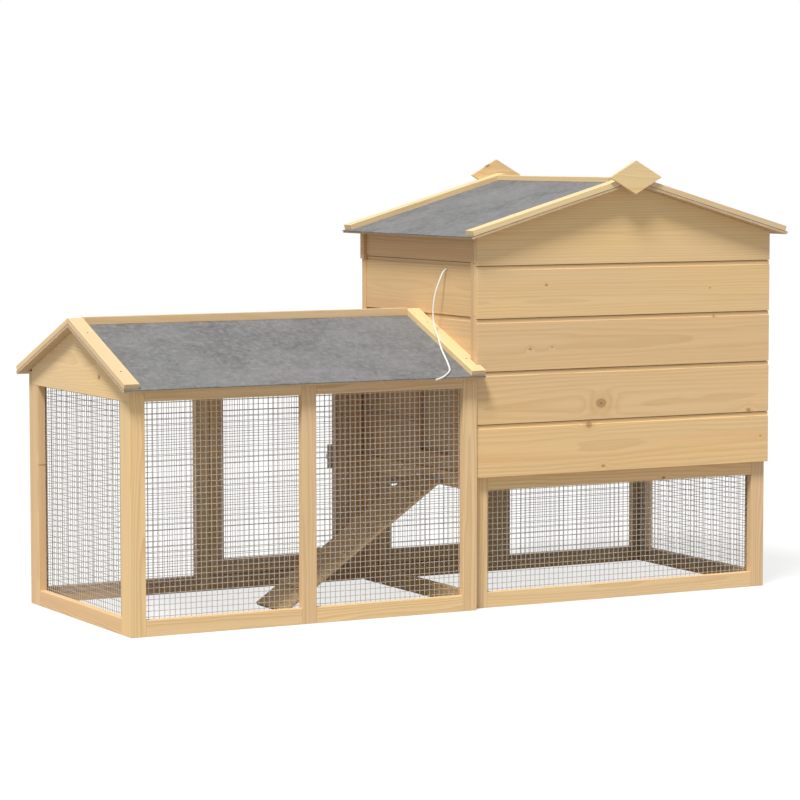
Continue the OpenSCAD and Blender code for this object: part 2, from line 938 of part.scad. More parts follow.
module run_door_mesh() {
    color(zinc)
        put()
            mesh_xz(run_door_x + lath_w - mesh_lap, run_door_end - lath_w + mesh_lap,
                run_door_z + lath_w - mesh_lap, run_door_top - lath_w + mesh_lap,
                rear_y - lath_t, -1);
}

module run_door_fittings() {
    color(zinc)
        put()
            door_fittings(run_hinge, run_hinge_z, run_door_end, rear_y, run_bolt_z);
}

module run_door_bolt() {
    color(zinc)
        put()
            translate([run_door_end, rear_y, run_bolt_z])
                bolt_rod();
}

// ---------------------------------------------------------------- ground-level door
ground_door_z = lath_w + door_gap;
ground_door_top = ground_top - door_gap;

module ground_door_frame() {
    color(fir)
        put()
            door_laths(ground_leaf_x, ground_leaf_end, ground_door_z, ground_door_top,
                ground_rear_in, ground_rear_out, lath_w);
}

module ground_door_mesh() {
    color(zinc)
        put()
            mesh_xz(ground_leaf_x + lath_w - mesh_lap, ground_leaf_end - lath_w + mesh_lap,
                ground_door_z + lath_w - mesh_lap, ground_door_top - lath_w + mesh_lap,
                ground_rear_in, -1);
}

module ground_door_fittings() {
    color(zinc)
        put()
            door_fittings(ground_hinge, ground_hinge_z, ground_leaf_end, ground_rear_out,
                ground_bolt_z);
}

module ground_door_bolt() {
    color(zinc)
        put()
            translate([ground_leaf_end, ground_rear_out, ground_bolt_z])
                bolt_rod();
}

// ---------------------------------------------------------------- house door
house_door_z = door_bay_z + door_gap;
house_door_top = top_rail_z - door_gap;

module house_door_frame() {
    color(fir)
        put()
            door_laths(house_leaf_x, house_leaf_end, house_door_z, house_door_top,
                house_rear_in, house_rear_out, lath_w);
}

module house_door_boards() {
    color(fir_dark)
        put()
            panel_boards(house_leaf_x + lath_w + joint_gap, house_leaf_end - lath_w - joint_gap,
                house_door_z + lath_w + joint_gap, house_door_top - lath_w - joint_gap);
}

module house_door_fittings() {
    color(zinc)
        put()
            door_fittings(house_hinge, house_hinge_z, house_leaf_end, house_rear_out,
                house_bolt_z);
}

module house_door_bolt() {
    color(zinc)
        put()
            translate([house_leaf_end, house_rear_out, house_bolt_z])
                bolt_rod();
}

// ---------------------------------------------------------------- tray
tray_floor_z = house_base + sheet_t + 0.8;
tray_metal = 1;
tray_front_in = house_front_in + 6;
tray_x0 = rear_stile_in + 3;
tray_x1 = rear_stile_out - 3;

module tray_runners() {
    y0 = house_front_in + 1;
    y1 = house_rear_in - 1;
    color(fir_dark)
        put() {
            bar([wall_left + side_t + 2, y0, house_base + sheet_t + eps],
                [tray_x0 - 1.5, y1, tray_floor_z + tray_rim]);
            bar([tray_x1 + 1.5, y0, house_base + sheet_t + eps],
                [wall_right - side_t - 2, y1, tray_floor_z + tray_rim]);
        }
}

module tray_pan() {
    color(zinc)
        put()
            difference() {
                bar([tray_x0, tray_front_in, tray_floor_z],
                    [tray_x1, house_rear_in - rest_gap, tray_floor_z + tray_rim]);
                bar([tray_x0 + tray_metal, tray_front_in + tray_metal, tray_floor_z + tray_metal],
                    [tray_x1 - tray_metal, house_rear_in - rest_gap - tray_metal,
                        tray_floor_z + tray_rim + 1]);
            }
}

module tray_front() {
    color(fir)
        put()
            bar([rear_stile_in + door_gap, house_rear_in, tray_z],
                [rear_stile_out - door_gap, house_rear_out, tray_z + tray_front_h]);
}

// ---------------------------------------------------------------- pop door
pop_panel_t = 6;
pop_cover = 10;
pop_panel_x = wall_left + side_t + 1;
slide_clear = 0.8;
slide_low = tray_floor_z + tray_rim + 0.5;
pop_low = pop_z - 5;
pop_top = pop_z + pop_h + pop_cover;
pop_side = pop_w / 2 + pop_cover;
slide_top = pop_top + pop_travel + 20;

// Grooved guides on the inside of the wall at both sides of the pop hole
module pop_door_slides() {
    x0 = wall_left + side_t + joint_gap;
    x1 = pop_panel_x + pop_panel_t + slide_clear;
    color(fir_dark)
        put()
            for (s = [-1, 1])
                translate([0, pop_y, slide_low])
                    linear_extrude(slide_top - slide_low)
                        polygon([[x0, s * (pop_side + slide_clear)], [x1, s * (pop_side + slide_clear)],
                            [x1, s * (pop_side - 7)], [x1 + 5, s * (pop_side - 7)],
                            [x1 + 5, s * (pop_side + 14)], [x0, s * (pop_side + 14)]]);
}

module pop_door() {
    color(plywood)
        put()
            bar([pop_panel_x, pop_y - pop_side, pop_low],
                [pop_panel_x + pop_panel_t, pop_y + pop_side, pop_top]);
}

// Screw eye in the top edge of the pop door, where the cord is tied
eye_r = 5;
eye_wire = 1.2;
module pop_door_eye() {
    color(zinc)
        put()
            translate([pop_panel_x + pop_panel_t / 2, pop_y, pop_top + joint_gap]) {
                cylinder(h = 4, r = eye_wire);
                translate([0, 0, 3 + eye_r])
                    rotate([0, 90, 0])
                        rotate_extrude($fn = 24)
                            translate([eye_r - eye_wire, 0])
                                circle(r = eye_wire, $fn = 14);
            }
}

// ---------------------------------------------------------------- ramp
ramp_y = pop_y + 10;
ramp_axis = [frame_x - eps - knuckle_r, ground_h - 28.6];
ramp_leaf = 10;
ramp_gap = 4;
ramp_foot = 0.5;
ramp_len = (ramp_axis[1] + knuckle_r * cos(ramp_slope) - ramp_foot) / sin(ramp_slope) - ramp_gap;
cleat_w = 12;
cleat_h = 8;
cleat_inset = 4;
cleats = 4;
cleat_first = 60;
cleat_pitch = 118;

module at_ramp_hinges() {
    for (s = [-1, 1])
        translate([ramp_axis[0], ramp_y + s * ramp_w / 4, ramp_axis[1]])
            children();
}

// Axes of the ramp about its hinge pin: x down the slope, y up to the board, z along +Y
module on_ramp() {
    translate([ramp_axis[0], ramp_y, ramp_axis[1]])
        rotate([0, 180 - ramp_slope, 0])
            rotate([-90, 0, 0])
                children();
}

module ramp_board() {
    color(fir)
        put()
            on_ramp()
                translate([ramp_gap, knuckle_r, -ramp_w / 2])
                    cube([ramp_len, ramp_t, ramp_w]);
}

module ramp_cleats() {
    color(fir_light)
        put()
            on_ramp()
                for (i = [0 : cleats - 1])
                    translate([cleat_first + i * cleat_pitch, knuckle_r + ramp_t + eps,
                        -ramp_w / 2 + cleat_inset])
                        cube([cleat_w, cleat_h, ramp_w - 2 * cleat_inset]);
}

// The hinges' moving leaves lie under the board
module ramp_hinges() {
    color(zinc)
        put()
            at_ramp_hinges()
                rotate([0, 180 - ramp_slope, 0])
                    rotate([-90, 0, 0])
                        mirror([0, 1, 0])
                            hinge_moving_half();
}

// ---------------------------------------------------------------- pull cord
cord_r = 2;
cord_sides = 8;
cord_steps = 4;
felt_top_low = run_under(0) + (sheet_t + felt_t) / cos(run_pitch);

// A point of the cord at height up above the plane of the felt
function over_felt(x, y, up) = [x, y, felt_top_low + tan(run_pitch) * y + up];

// The cord's route: through the wall, down in front of it, over the plank and the felt
outer_route = [[wall_left + 16, cord_hole_y, cord_hole_z],
    [wall_left + 6, cord_hole_y, cord_hole_z], [wall_left - 1, cord_hole_y, cord_hole_z - 0.5],
    [wall_left - 9, 164, 772], [wall_left - 17, 165, 754], [wall_left - 26, 168, 727],
    [wall_left - 31, 170, 695], [wall_left - 32, 169, 665], over_felt(wall_left - 32, 159, 25),
    over_felt(wall_left - 34, 146, 18), over_felt(wall_left - 37.2, 134, 15.6),
    over_felt(wall_left - 40.5, 123, 10), over_felt(wall_left - 46, 102, 3.2),
    over_felt(wall_left - 56, 68, 2.6), over_felt(wall_left - 67, 34, 2.6),
    over_felt(wall_left - 80, 3, 2.6), over_felt(wall_left - 101, -18, 2.8),
    over_felt(wall_left - 119, -29, 2), over_felt(wall_left - 136, -35, 1)];

// Smooth curve through the points of a route
function pick(p, i) = p[min(max(i, 0), len(p) - 1)];
function blend4(a, b, c, d, t) = 0.5 * (2 * b + (c - a) * t + (2 * a - 5 * b + 4 * c - d) * t * t
    + (3 * b - a - 3 * c + d) * t * t * t);
function smooth_route(p) = [for (i = [0 : len(p) - 2], k = [0 : cord_steps - 1])
    blend4(pick(p, i - 1), p[i], p[i + 1], pick(p, i + 2), k / cord_steps), p[len(p) - 1]];
function unit(v) = v / norm(v);
function heading(c, i) = unit(pick(c, i + 1) - pick(c, i - 1));
function side_of(t) = unit(cross(t, [0.31, 0.84, 0.12]));
function ring(c, i, r) = let (t = heading(c, i), a = side_of(t), b = cross(t, a))
    [for (k = [0 : cord_sides - 1]) c[i] + r * (cos(360 * k / cord_sides) * a
        + sin(360 * k / cord_sides) * b)];

module cord_tube(c, r) {
    n = len(c);
    m = cord_sides;
    points = [for (i = [0 : n - 1]) each ring(c, i, r)];
    sides = [for (i = [0 : n - 2], k = [0 : m - 1])
        [i * m + k, i * m + (k + 1) % m, (i + 1) * m + (k + 1) % m, (i + 1) * m + k]];
    start = [for (k = [0 : m - 1]) m - 1 - k];
    end = [for (k = [0 : m - 1]) (n - 1) * m + k];
    polyhedron(points = points, faces = concat([start], sides, [end]), convexity = 6);
}

module outer_cord() {
    color(cord_white)
        put()
            cord_tube(smooth_route(outer_route), cord_r);
}

// Inside the house the cord runs from the eye on the pop door up to the hole in the wall
inner_x = pop_panel_x + pop_panel_t / 2;
inner_low = pop_top + 2 * eye_r + 3.5;
inner_high = cord_hole_z - cord_r - 2;
inner_route = [[inner_x, pop_y, inner_low], [inner_x, pop_y - 20, inner_low + 78],
    [inner_x, cord_hole_y + 20, inner_high - 78], [inner_x, cord_hole_y, inner_high]];

module inner_cord() {
    color(cord_white)
        put()
            cord_tube(smooth_route(inner_route), cord_r);
}

run_front_frame();
run_end_frame();
run_gable_board();
run_rear_frame();
run_front_mesh();
run_end_mesh();
run_rear_mesh();
run_roof_front_sheet();
run_roof_rear_sheet();
run_felt();
run_roof_planks();
run_ridge_strip();
ground_front_frame();
ground_end_frame();
ground_rear_frame();
partition_rails();
rear_cover_strip();
ground_front_mesh();
ground_end_mesh();
ground_rear_mesh();
house_floor();
house_front_boards();
house_left_boards();
house_right_boards();
house_wall_battens();
house_rear_frame();
house_rear_boards();
house_rear_gable();
house_roof_left_sheet();
house_roof_right_sheet();
house_felt();
house_roof_planks();
house_ridge_strip();
gable_diamonds();
tray_runners();
pop_door_slides();
hinge_fixed_halves();
bolt_keepers();
roof_screws();
outer_cord();
inner_cord();
run_door_frame();
run_door_mesh();
run_door_fittings();
run_door_bolt();
ground_door_frame();
ground_door_mesh();
ground_door_fittings();
ground_door_bolt();
house_door_frame();
house_door_boards();
house_door_fittings();
house_door_bolt();
tray_pan();
tray_front();
pop_door();
pop_door_eye();
ramp_board();
ramp_cleats();
ramp_hinges();
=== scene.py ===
import json
import math
import random

import bmesh
import bpy
import numpy as np
from mathutils import Matrix, Vector

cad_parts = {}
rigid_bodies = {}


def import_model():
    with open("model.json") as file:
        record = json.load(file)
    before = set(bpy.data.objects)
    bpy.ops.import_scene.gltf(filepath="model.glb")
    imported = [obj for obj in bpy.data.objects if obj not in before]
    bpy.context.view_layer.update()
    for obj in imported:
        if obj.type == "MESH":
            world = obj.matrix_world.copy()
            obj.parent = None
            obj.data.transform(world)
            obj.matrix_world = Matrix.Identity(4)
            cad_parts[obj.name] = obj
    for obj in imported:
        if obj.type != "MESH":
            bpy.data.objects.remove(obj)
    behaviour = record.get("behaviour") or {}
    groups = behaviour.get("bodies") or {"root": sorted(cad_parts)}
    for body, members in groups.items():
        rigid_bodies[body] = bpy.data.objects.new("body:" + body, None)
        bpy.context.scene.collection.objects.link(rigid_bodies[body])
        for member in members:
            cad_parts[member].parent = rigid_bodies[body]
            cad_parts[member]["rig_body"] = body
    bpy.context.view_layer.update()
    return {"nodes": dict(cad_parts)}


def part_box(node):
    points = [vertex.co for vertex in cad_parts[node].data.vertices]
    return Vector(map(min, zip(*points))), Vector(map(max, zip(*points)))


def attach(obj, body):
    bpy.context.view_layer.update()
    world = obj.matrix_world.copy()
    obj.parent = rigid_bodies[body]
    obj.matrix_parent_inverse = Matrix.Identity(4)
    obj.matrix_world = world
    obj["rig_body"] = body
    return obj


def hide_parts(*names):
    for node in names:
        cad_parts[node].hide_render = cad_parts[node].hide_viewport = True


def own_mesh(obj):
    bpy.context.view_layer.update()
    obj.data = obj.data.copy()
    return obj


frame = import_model()
nodes = frame["nodes"]

# ------------------------------------------------------------------ studio
# The hutch stands on a white paper floor under one large lamp high at the front left, with a
# soft light from all round. The camera stands far off at the run's front corner, and looks
# slightly down.


def paint(name):
    """A new material and its main shader."""
    finish = bpy.data.materials.new(name)
    finish.use_nodes = True
    return finish, finish.node_tree.nodes["Principled BSDF"]


def wire_up(tree, kind, settings=None, **sockets):
    """Adds a shader or geometry node, sets or links its sockets, and gives it back."""
    made = tree.nodes.new(kind)
    for name, value in (settings or {}).items():
        setattr(made, name, value)
    for name, value in sockets.items():
        wanted = name.replace("_", " ").lower()
        found = [s for s in made.inputs if s.name.lower() == wanted and s.enabled]
        if name.startswith("in") and name[2:].isdigit():
            found = [made.inputs[int(name[2:])]]
        if isinstance(value, bpy.types.NodeSocket):
            tree.links.new(value, found[0])
        else:
            found[0].default_value = value
    return made


scene = bpy.context.scene
scene.view_settings.view_transform = "Standard"

# The paper throws back less light than it seems to, so that the hutch's undersides stay dark
floor_reach = 9.0
paper_bounce = (0.39, 0.39, 0.385, 1)
paper_seen = (0.15, 0.15, 0.15, 1)
paper_glow = 0.78
floor_mesh = bpy.data.meshes.new("paper_floor")
floor_mesh.from_pydata(
    [(-floor_reach, -floor_reach, 0), (floor_reach, -floor_reach, 0),
     (floor_reach, floor_reach * 2, 0), (-floor_reach, floor_reach * 2, 0)],
    [], [(0, 1, 2, 3)])
paper_floor = bpy.data.objects.new("paper_floor", floor_mesh)
scene.collection.objects.link(paper_floor)
paper, shader = paint("white_paper")
tree = paper.node_tree
seen = wire_up(tree, "ShaderNodeLightPath").outputs["Is Camera Ray"]
sheet_tint = wire_up(tree, "ShaderNodeMix", {"data_type": "RGBA"}, in0=seen,
                     in6=paper_bounce, in7=paper_seen)
tree.links.new(sheet_tint.outputs[2], shader.inputs["Base Color"])
shader.inputs["Emission Color"].default_value = (1.0, 1.0, 1.0, 1)
lift = wire_up(tree, "ShaderNodeMapRange", in0=seen, in3=0.0, in4=paper_glow)
tree.links.new(lift.outputs[0], shader.inputs["Emission Strength"])
shader.inputs["Roughness"].default_value = 0.9
floor_mesh.materials.append(paper)

sky_fill = 0.50
sky_seen = 1.0
sky = bpy.data.worlds.new("studio")
scene.world = sky
sky.use_nodes = True
glow = sky.node_tree.nodes["Background"]
glow.inputs["Color"].default_value = (1.0, 1.0, 1.0, 1)
straight = wire_up(sky.node_tree, "ShaderNodeLightPath").outputs["Is Camera Ray"]
level = wire_up(sky.node_tree, "ShaderNodeMapRange", in0=straight, in3=sky_fill,
                in4=sky_seen)
sky.node_tree.links.new(level.outputs[0], glow.inputs["Strength"])

lamp_way = Vector((0.40, 0.33, -0.86))
lamp = bpy.data.lights.new("high_lamp", "SUN")
lamp.energy = 3.9
lamp.angle = math.radians(14)
lamp.color = (1.0, 0.985, 0.955)
lamp_stand = bpy.data.objects.new("high_lamp", lamp)
lamp_stand.rotation_mode = "QUATERNION"
lamp_stand.rotation_quaternion = lamp_way.to_track_quat("-Z", "Y")
scene.collection.objects.link(lamp_stand)

camera_place = (-3.460, -6.460, 1.067)
camera_turn = (math.radians(85.305), math.radians(0.044), math.radians(-28.032))
lens = bpy.data.cameras.new("camera")
lens.sensor_width = 36.0
lens.lens = 139.48
lens.clip_end = 100
camera = bpy.data.objects.new("camera", lens)
camera.location = camera_place
camera.rotation_euler = camera_turn
scene.collection.objects.link(camera)
scene.camera = camera

# ------------------------------------------------------------------ timber
# Frames, boards and roof planks are solid fir, planed and left bare, with eased arrises.
# Each lath is sawn from its own place in the log, so rings and knots differ on every piece.

ease = 0.0009
weld_gap = 2e-6
flat_angle = 0.01
arris_angle = 0.35


def islands(bm):
    """The separate solids of a mesh, as lists of vertices."""
    seen = set()
    for first in bm.verts:
        if first.index in seen:
            continue
        group, reach = [], [first]
        seen.add(first.index)
        while reach:
            v = reach.pop()
            group.append(v)
            for e in v.link_edges:
                w = e.other_vert(v)
                if w.index not in seen:
                    seen.add(w.index)
                    reach.append(w)
        yield group


def saw_axes(points):
    """Fibre, width and thickness directions of a lath, snapped to the hutch's own axes."""
    spread = points - points.mean(0)
    span = np.ptp(points, 0)
    _, _, rows = np.linalg.svd(spread, full_matrices=False)
    fibre = rows[0]
    if abs(fibre).max() > 0.975 or span.max() < 1.3 * sorted(span)[1]:
        order = np.argsort(-span)
        fibre = np.eye(3)[order[0]]
    flat = rows[2] - fibre * (rows[2] @ fibre)
    if abs(flat).max() > 0.9 * np.linalg.norm(flat):
        flat = np.eye(3)[abs(flat).argmax()]
    flat = flat - fibre * (flat @ fibre)
    flat = flat / np.linalg.norm(flat)
    return fibre, np.cross(flat, fibre), flat


def sawn(node, finish, edge=ease, seed=0):
    """A CAD wood node as real timber: merged, arrises eased, the grain laid lath by lath."""
    draw = random.Random(f"{node}{seed}")
    bm = bmesh.new()
    bm.from_mesh(nodes[node].data)
    bmesh.ops.remove_doubles(bm, verts=bm.verts, dist=weld_gap)
    bmesh.ops.dissolve_limit(bm, angle_limit=flat_angle, verts=bm.verts, edges=bm.edges)
    sharp = [e for e in bm.edges if len(e.link_faces) == 2 and e.calc_face_angle() > arris_angle]
    bmesh.ops.bevel(bm, geom=sharp, offset=edge, segments=2, profile=0.6,
                    affect="EDGES", clamp_overlap=True)
    bmesh.ops.triangulate(bm, faces=[f for f in bm.faces if len(f.verts) > 4])
    bm.verts.index_update()
    grain = np.zeros((len(bm.verts), 3), np.float32)
    tone = np.zeros(len(bm.verts), np.float32)
    for group in islands(bm):
        index = [v.index for v in group]
        points = np.array([v.co for v in group])
        fibre, across, flat = saw_axes(points)
        centre = (points.max(0) + points.min(0)) / 2
        local = (points - centre) @ np.array([fibre, across, flat]).T
        if draw.random() < 0.5:
            local[:, 0] *= -1
        heart = (draw.uniform(0, 9), draw.uniform(-0.03, 0.03),
                 draw.choice((-1, 1)) * draw.uniform(0.016, 0.055))
        grain[index] = local + np.array(heart)
        tone[index] = draw.random()
    mesh = bpy.data.meshes.new(f"sawn_{node}")
    bm.to_mesh(mesh)
    bm.free()
    mesh.attributes.new("grain", "FLOAT_VECTOR", "POINT").data.foreach_set(
        "vector", grain.ravel())
    mesh.attributes.new("tone", "FLOAT", "POINT").data.foreach_set("value", tone)
    for face in mesh.polygons:
        face.use_smooth = False
    mesh.materials.append(finish)
    piece = bpy.data.objects.new(f"sawn_{node}", mesh)
    scene.collection.objects.link(piece)
    return piece


def fit(piece, node):
    """Puts a finished piece on its node's body in the node's stead."""
    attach(piece, nodes[node]["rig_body"])
    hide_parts(node)


def shader_group(name, inputs, outputs):
    """An empty shader group with named sockets, and its two ends."""
    group = bpy.data.node_groups.new(name, "ShaderNodeTree")
    kinds = {"value": "NodeSocketFloat", "vector": "NodeSocketVector", "colour": "NodeSocketColor"}
    for label, kind, start in inputs:
        made = group.interface.new_socket(label, in_out="INPUT", socket_type=kinds[kind])
        made.default_value = start
    for label, kind in outputs:
        group.interface.new_socket(label, in_out="OUTPUT", socket_type=kinds[kind])
    return group, group.nodes.new("NodeGroupInput"), group.nodes.new("NodeGroupOutput")


def sums(tree, operation, a, b=0.0, c=0.0):
    """One sum between sockets or numbers."""
    return wire_up(tree, "ShaderNodeMath", {"operation": operation}, in0=a, in1=b, in2=c).outputs[0]


def placed(tree, operation, a, b=(0, 0, 0)):
    """One vector sum between sockets or vectors."""
    made = wire_up(tree, "ShaderNodeVectorMath", {"operation": operation}, in0=a, in1=b)
    return made.outputs["Value" if operation in ("LENGTH", "DISTANCE", "DOT_PRODUCT") else 0]


def eased(tree, value, low, high, start=0.0, end=1.0):
    """A smooth step of a value from low to high."""
    return wire_up(tree, "ShaderNodeMapRange", {"interpolation_type": "SMOOTHSTEP"},
                   in0=value, in1=low, in2=high, in3=start, in4=end).outputs[0]


def stirred(tree, vector, scale, detail=2.0, rough=0.5):
    """Fractal noise, 0 to 1."""
    return wire_up(tree, "ShaderNodeTexNoise", Vector=vector, Scale=scale, Detail=detail,
                   Roughness=rough).outputs[0]


def mixed(tree, share, a, b, blend="MIX"):
    """A mix of two colours."""
    return wire_up(tree, "ShaderNodeMix", {"data_type": "RGBA", "blend_type": blend},
                   in0=share, in6=a, in7=b).outputs[2]


# Scattered knots: one per cell of the board's face at most, each with a pin of dark heart
knots, ends, out = shader_group(
    "scattered_knots", [("Grain", "vector", (0, 0, 0)), ("Share", "value", 0.4),
                        ("Size", "value", 0.006)], [("Knot", "value"), ("Swell", "value")])
cells_long, cells_wide = 3.4, 11.0
knot_oval = (0.8, 1.0, 0.0)
spots = wire_up(knots, "ShaderNodeTexVoronoi", {"voronoi_dimensions": "2D"},
                Vector=placed(knots, "MULTIPLY", ends.outputs["Grain"],
                              (cells_long, cells_wide, 0.0)), Scale=1.0, Randomness=0.85)
middle = placed(knots, "DIVIDE", spots.outputs["Position"], (cells_long, cells_wide, 1.0))
flat_grain = placed(knots, "MULTIPLY", ends.outputs["Grain"], knot_oval)
flat_middle = placed(knots, "MULTIPLY", middle, knot_oval)
away = placed(knots, "DISTANCE", flat_grain, flat_middle)
chance = wire_up(knots, "ShaderNodeSeparateColor", in0=spots.outputs["Color"])
present = sums(knots, "LESS_THAN", chance.outputs[0], ends.outputs["Share"])
size = sums(knots, "MULTIPLY", ends.outputs["Size"],
            sums(knots, "MULTIPLY_ADD", chance.outputs[1], 1.1, 0.35))
ragged = sums(knots, "MULTIPLY_ADD", stirred(knots, ends.outputs["Grain"], 130.0), 0.004, -0.002)
near = sums(knots, "DIVIDE", sums(knots, "ADD", away, ragged), size)
turns = sums(knots, "MULTIPLY_ADD", sums(knots, "SINE", sums(knots, "MULTIPLY", near, 8.5)),
             0.18, 0.72)
body = sums(knots, "MULTIPLY", sums(knots, "MULTIPLY", eased(knots, near, 1.35, 0.65), turns),
            present)
knots.links.new(body, out.inputs["Knot"])
swell = sums(knots, "EXPONENT", sums(knots, "MULTIPLY", sums(knots, "POWER", near, 2.0), -0.12))
knots.links.new(sums(knots, "MULTIPLY", sums(knots, "MULTIPLY", swell, size), present),
                out.inputs["Swell"])

# One knot at a set place on a board
single, ends, out = shader_group(
    "one_knot", [("Place", "vector", (0, 0, 0)), ("Centre", "vector", (0, 0, 0)),
                 ("Size", "value", 0.005), ("Knot", "value", 0.0), ("Swell", "value", 0.0)],
    [("Knot", "value"), ("Swell", "value")])
squeezed = placed(single, "MULTIPLY", placed(single, "SUBTRACT", ends.outputs["Place"],
                                             ends.outputs["Centre"]), (0.75, 0.0, 1.0))
ragged = sums(single, "MULTIPLY_ADD", stirred(single, ends.outputs["Place"], 150.0), 0.004, -0.002)
near = sums(single, "DIVIDE", sums(single, "ADD", placed(single, "LENGTH", squeezed), ragged),
            ends.outputs["Size"])
turns = sums(single, "MULTIPLY_ADD", sums(single, "SINE", sums(single, "MULTIPLY", near, 8.5)),
             0.22, 0.62)
single.links.new(sums(single, "MAXIMUM", ends.outputs["Knot"], sums(
    single, "MULTIPLY", eased(single, near, 1.45, 0.6), turns)), out.inputs["Knot"])
swell = sums(single, "EXPONENT", sums(single, "MULTIPLY", sums(single, "POWER", near, 2.0), -0.12))
single.links.new(sums(single, "MULTIPLY_ADD", swell, ends.outputs["Size"],
                      ends.outputs["Swell"]), out.inputs["Swell"])

# Year rings, fibres, pores and knots of fir; the same cut shows stripes or cathedral arches
fir, ends, out = shader_group(
    "fir_timber",
    [("Grain", "vector", (0, 0, 0)), ("Tone", "value", 0.5), ("Ring Width", "value", 0.0042),
     ("Ring Depth", "value", 0.5), ("Knot", "value", 0.0), ("Swell", "value", 0.0),
     ("Early Wood", "colour", (0.7, 0.5, 0.3, 1)), ("Late Wood", "colour", (0.5, 0.3, 0.1, 1)),
     ("Heartwood", "colour", (0.7, 0.4, 0.2, 1)),
     ("Heart", "colour", (0.2, 0.1, 0.04, 1))],
    [("Color", "colour"), ("Roughness", "value"), ("Height", "value")])
grain = ends.outputs["Grain"]
long_wave = stirred(fir, placed(fir, "MULTIPLY", grain, (1.6, 9.0, 9.0)), 1.0, 2.0)
small_wave = stirred(fir, placed(fir, "MULTIPLY", grain, (9.0, 60.0, 60.0)), 1.0, 2.0)
ring_space = placed(fir, "LENGTH", placed(fir, "MULTIPLY", grain, (0.0, 1.0, 1.0)))
run_out = wire_up(fir, "ShaderNodeSeparateXYZ", in0=grain)
ring_space = sums(fir, "MULTIPLY_ADD", run_out.outputs[0], 0.006, ring_space)
ring_space = sums(fir, "MULTIPLY_ADD", long_wave, 0.026, ring_space)
ring_space = sums(fir, "MULTIPLY_ADD", small_wave, 0.0022, ring_space)
ring_space = sums(fir, "MULTIPLY_ADD", ends.outputs["Swell"], 1.7, ring_space)
years = sums(fir, "DIVIDE", ring_space, ends.outputs["Ring Width"])
year = sums(fir, "FRACT", years)
late = sums(fir, "MULTIPLY", eased(fir, year, 0.25, 0.92), eased(fir, year, 1.0, 0.93))
vary = stirred(fir, placed(fir, "MULTIPLY", grain, (0.5, 14.0, 14.0)), 1.0, 1.0)
late = sums(fir, "MULTIPLY", late, eased(fir, vary, 0.25, 0.75, 0.35, 1.0))
late = sums(fir, "MULTIPLY", late, ends.outputs["Ring Depth"])
fibre = stirred(fir, placed(fir, "MULTIPLY", grain, (9.0, 1100.0, 1100.0)), 1.0, 2.0, 0.6)
streak = stirred(fir, placed(fir, "MULTIPLY", grain, (2.2, 190.0, 190.0)), 1.0, 3.0, 0.6)
colour = mixed(fir, late, ends.outputs["Early Wood"], ends.outputs["Late Wood"])
band = stirred(fir, placed(fir, "MULTIPLY", grain, (0.9, 22.0, 22.0)), 1.0, 1.0)
colour = mixed(fir, eased(fir, band, 0.52, 0.78, 0.0, 0.5), colour, ends.outputs["Heartwood"])
hue_shift = wire_up(fir, "ShaderNodeHueSaturation", Color=colour,
                    Hue=sums(fir, "MULTIPLY_ADD", ends.outputs["Tone"], 0.008, 0.496),
                    Saturation=sums(fir, "MULTIPLY_ADD", long_wave, 0.22, 0.89),
                    Value=sums(fir, "MULTIPLY_ADD", ends.outputs["Tone"], 0.10, 0.95))
shade = sums(fir, "MULTIPLY_ADD", streak, 0.22, 0.89)
shade = sums(fir, "MULTIPLY", shade, sums(fir, "MULTIPLY_ADD", fibre, 0.13, 0.935))
shade = sums(fir, "MULTIPLY", shade, sums(fir, "MULTIPLY_ADD", long_wave, 0.16, 0.92))
tinted = mixed(fir, 1.0, hue_shift.outputs[0],
               wire_up(fir, "ShaderNodeCombineColor", in0=shade, in1=shade, in2=shade).outputs[0],
               "MULTIPLY")
halo = eased(fir, ends.outputs["Swell"], 0.0015, 0.006, 0.0, 0.42)
tinted = mixed(fir, halo, tinted, ends.outputs["Late Wood"])
tinted = mixed(fir, sums(fir, "MULTIPLY", ends.outputs["Knot"], 0.86), tinted,
               ends.outputs["Heart"])
fir.links.new(tinted, out.inputs["Color"])
fir.links.new(sums(fir, "MULTIPLY_ADD", late, -0.12, sums(fir, "MULTIPLY_ADD", fibre, 0.14, 0.55)),
              out.inputs["Roughness"])
relief = sums(fir, "MULTIPLY_ADD", late, 0.45, sums(fir, "MULTIPLY", fibre, 0.55))
fir.links.new(sums(fir, "MULTIPLY_ADD", ends.outputs["Knot"], -0.5, relief), out.inputs["Height"])


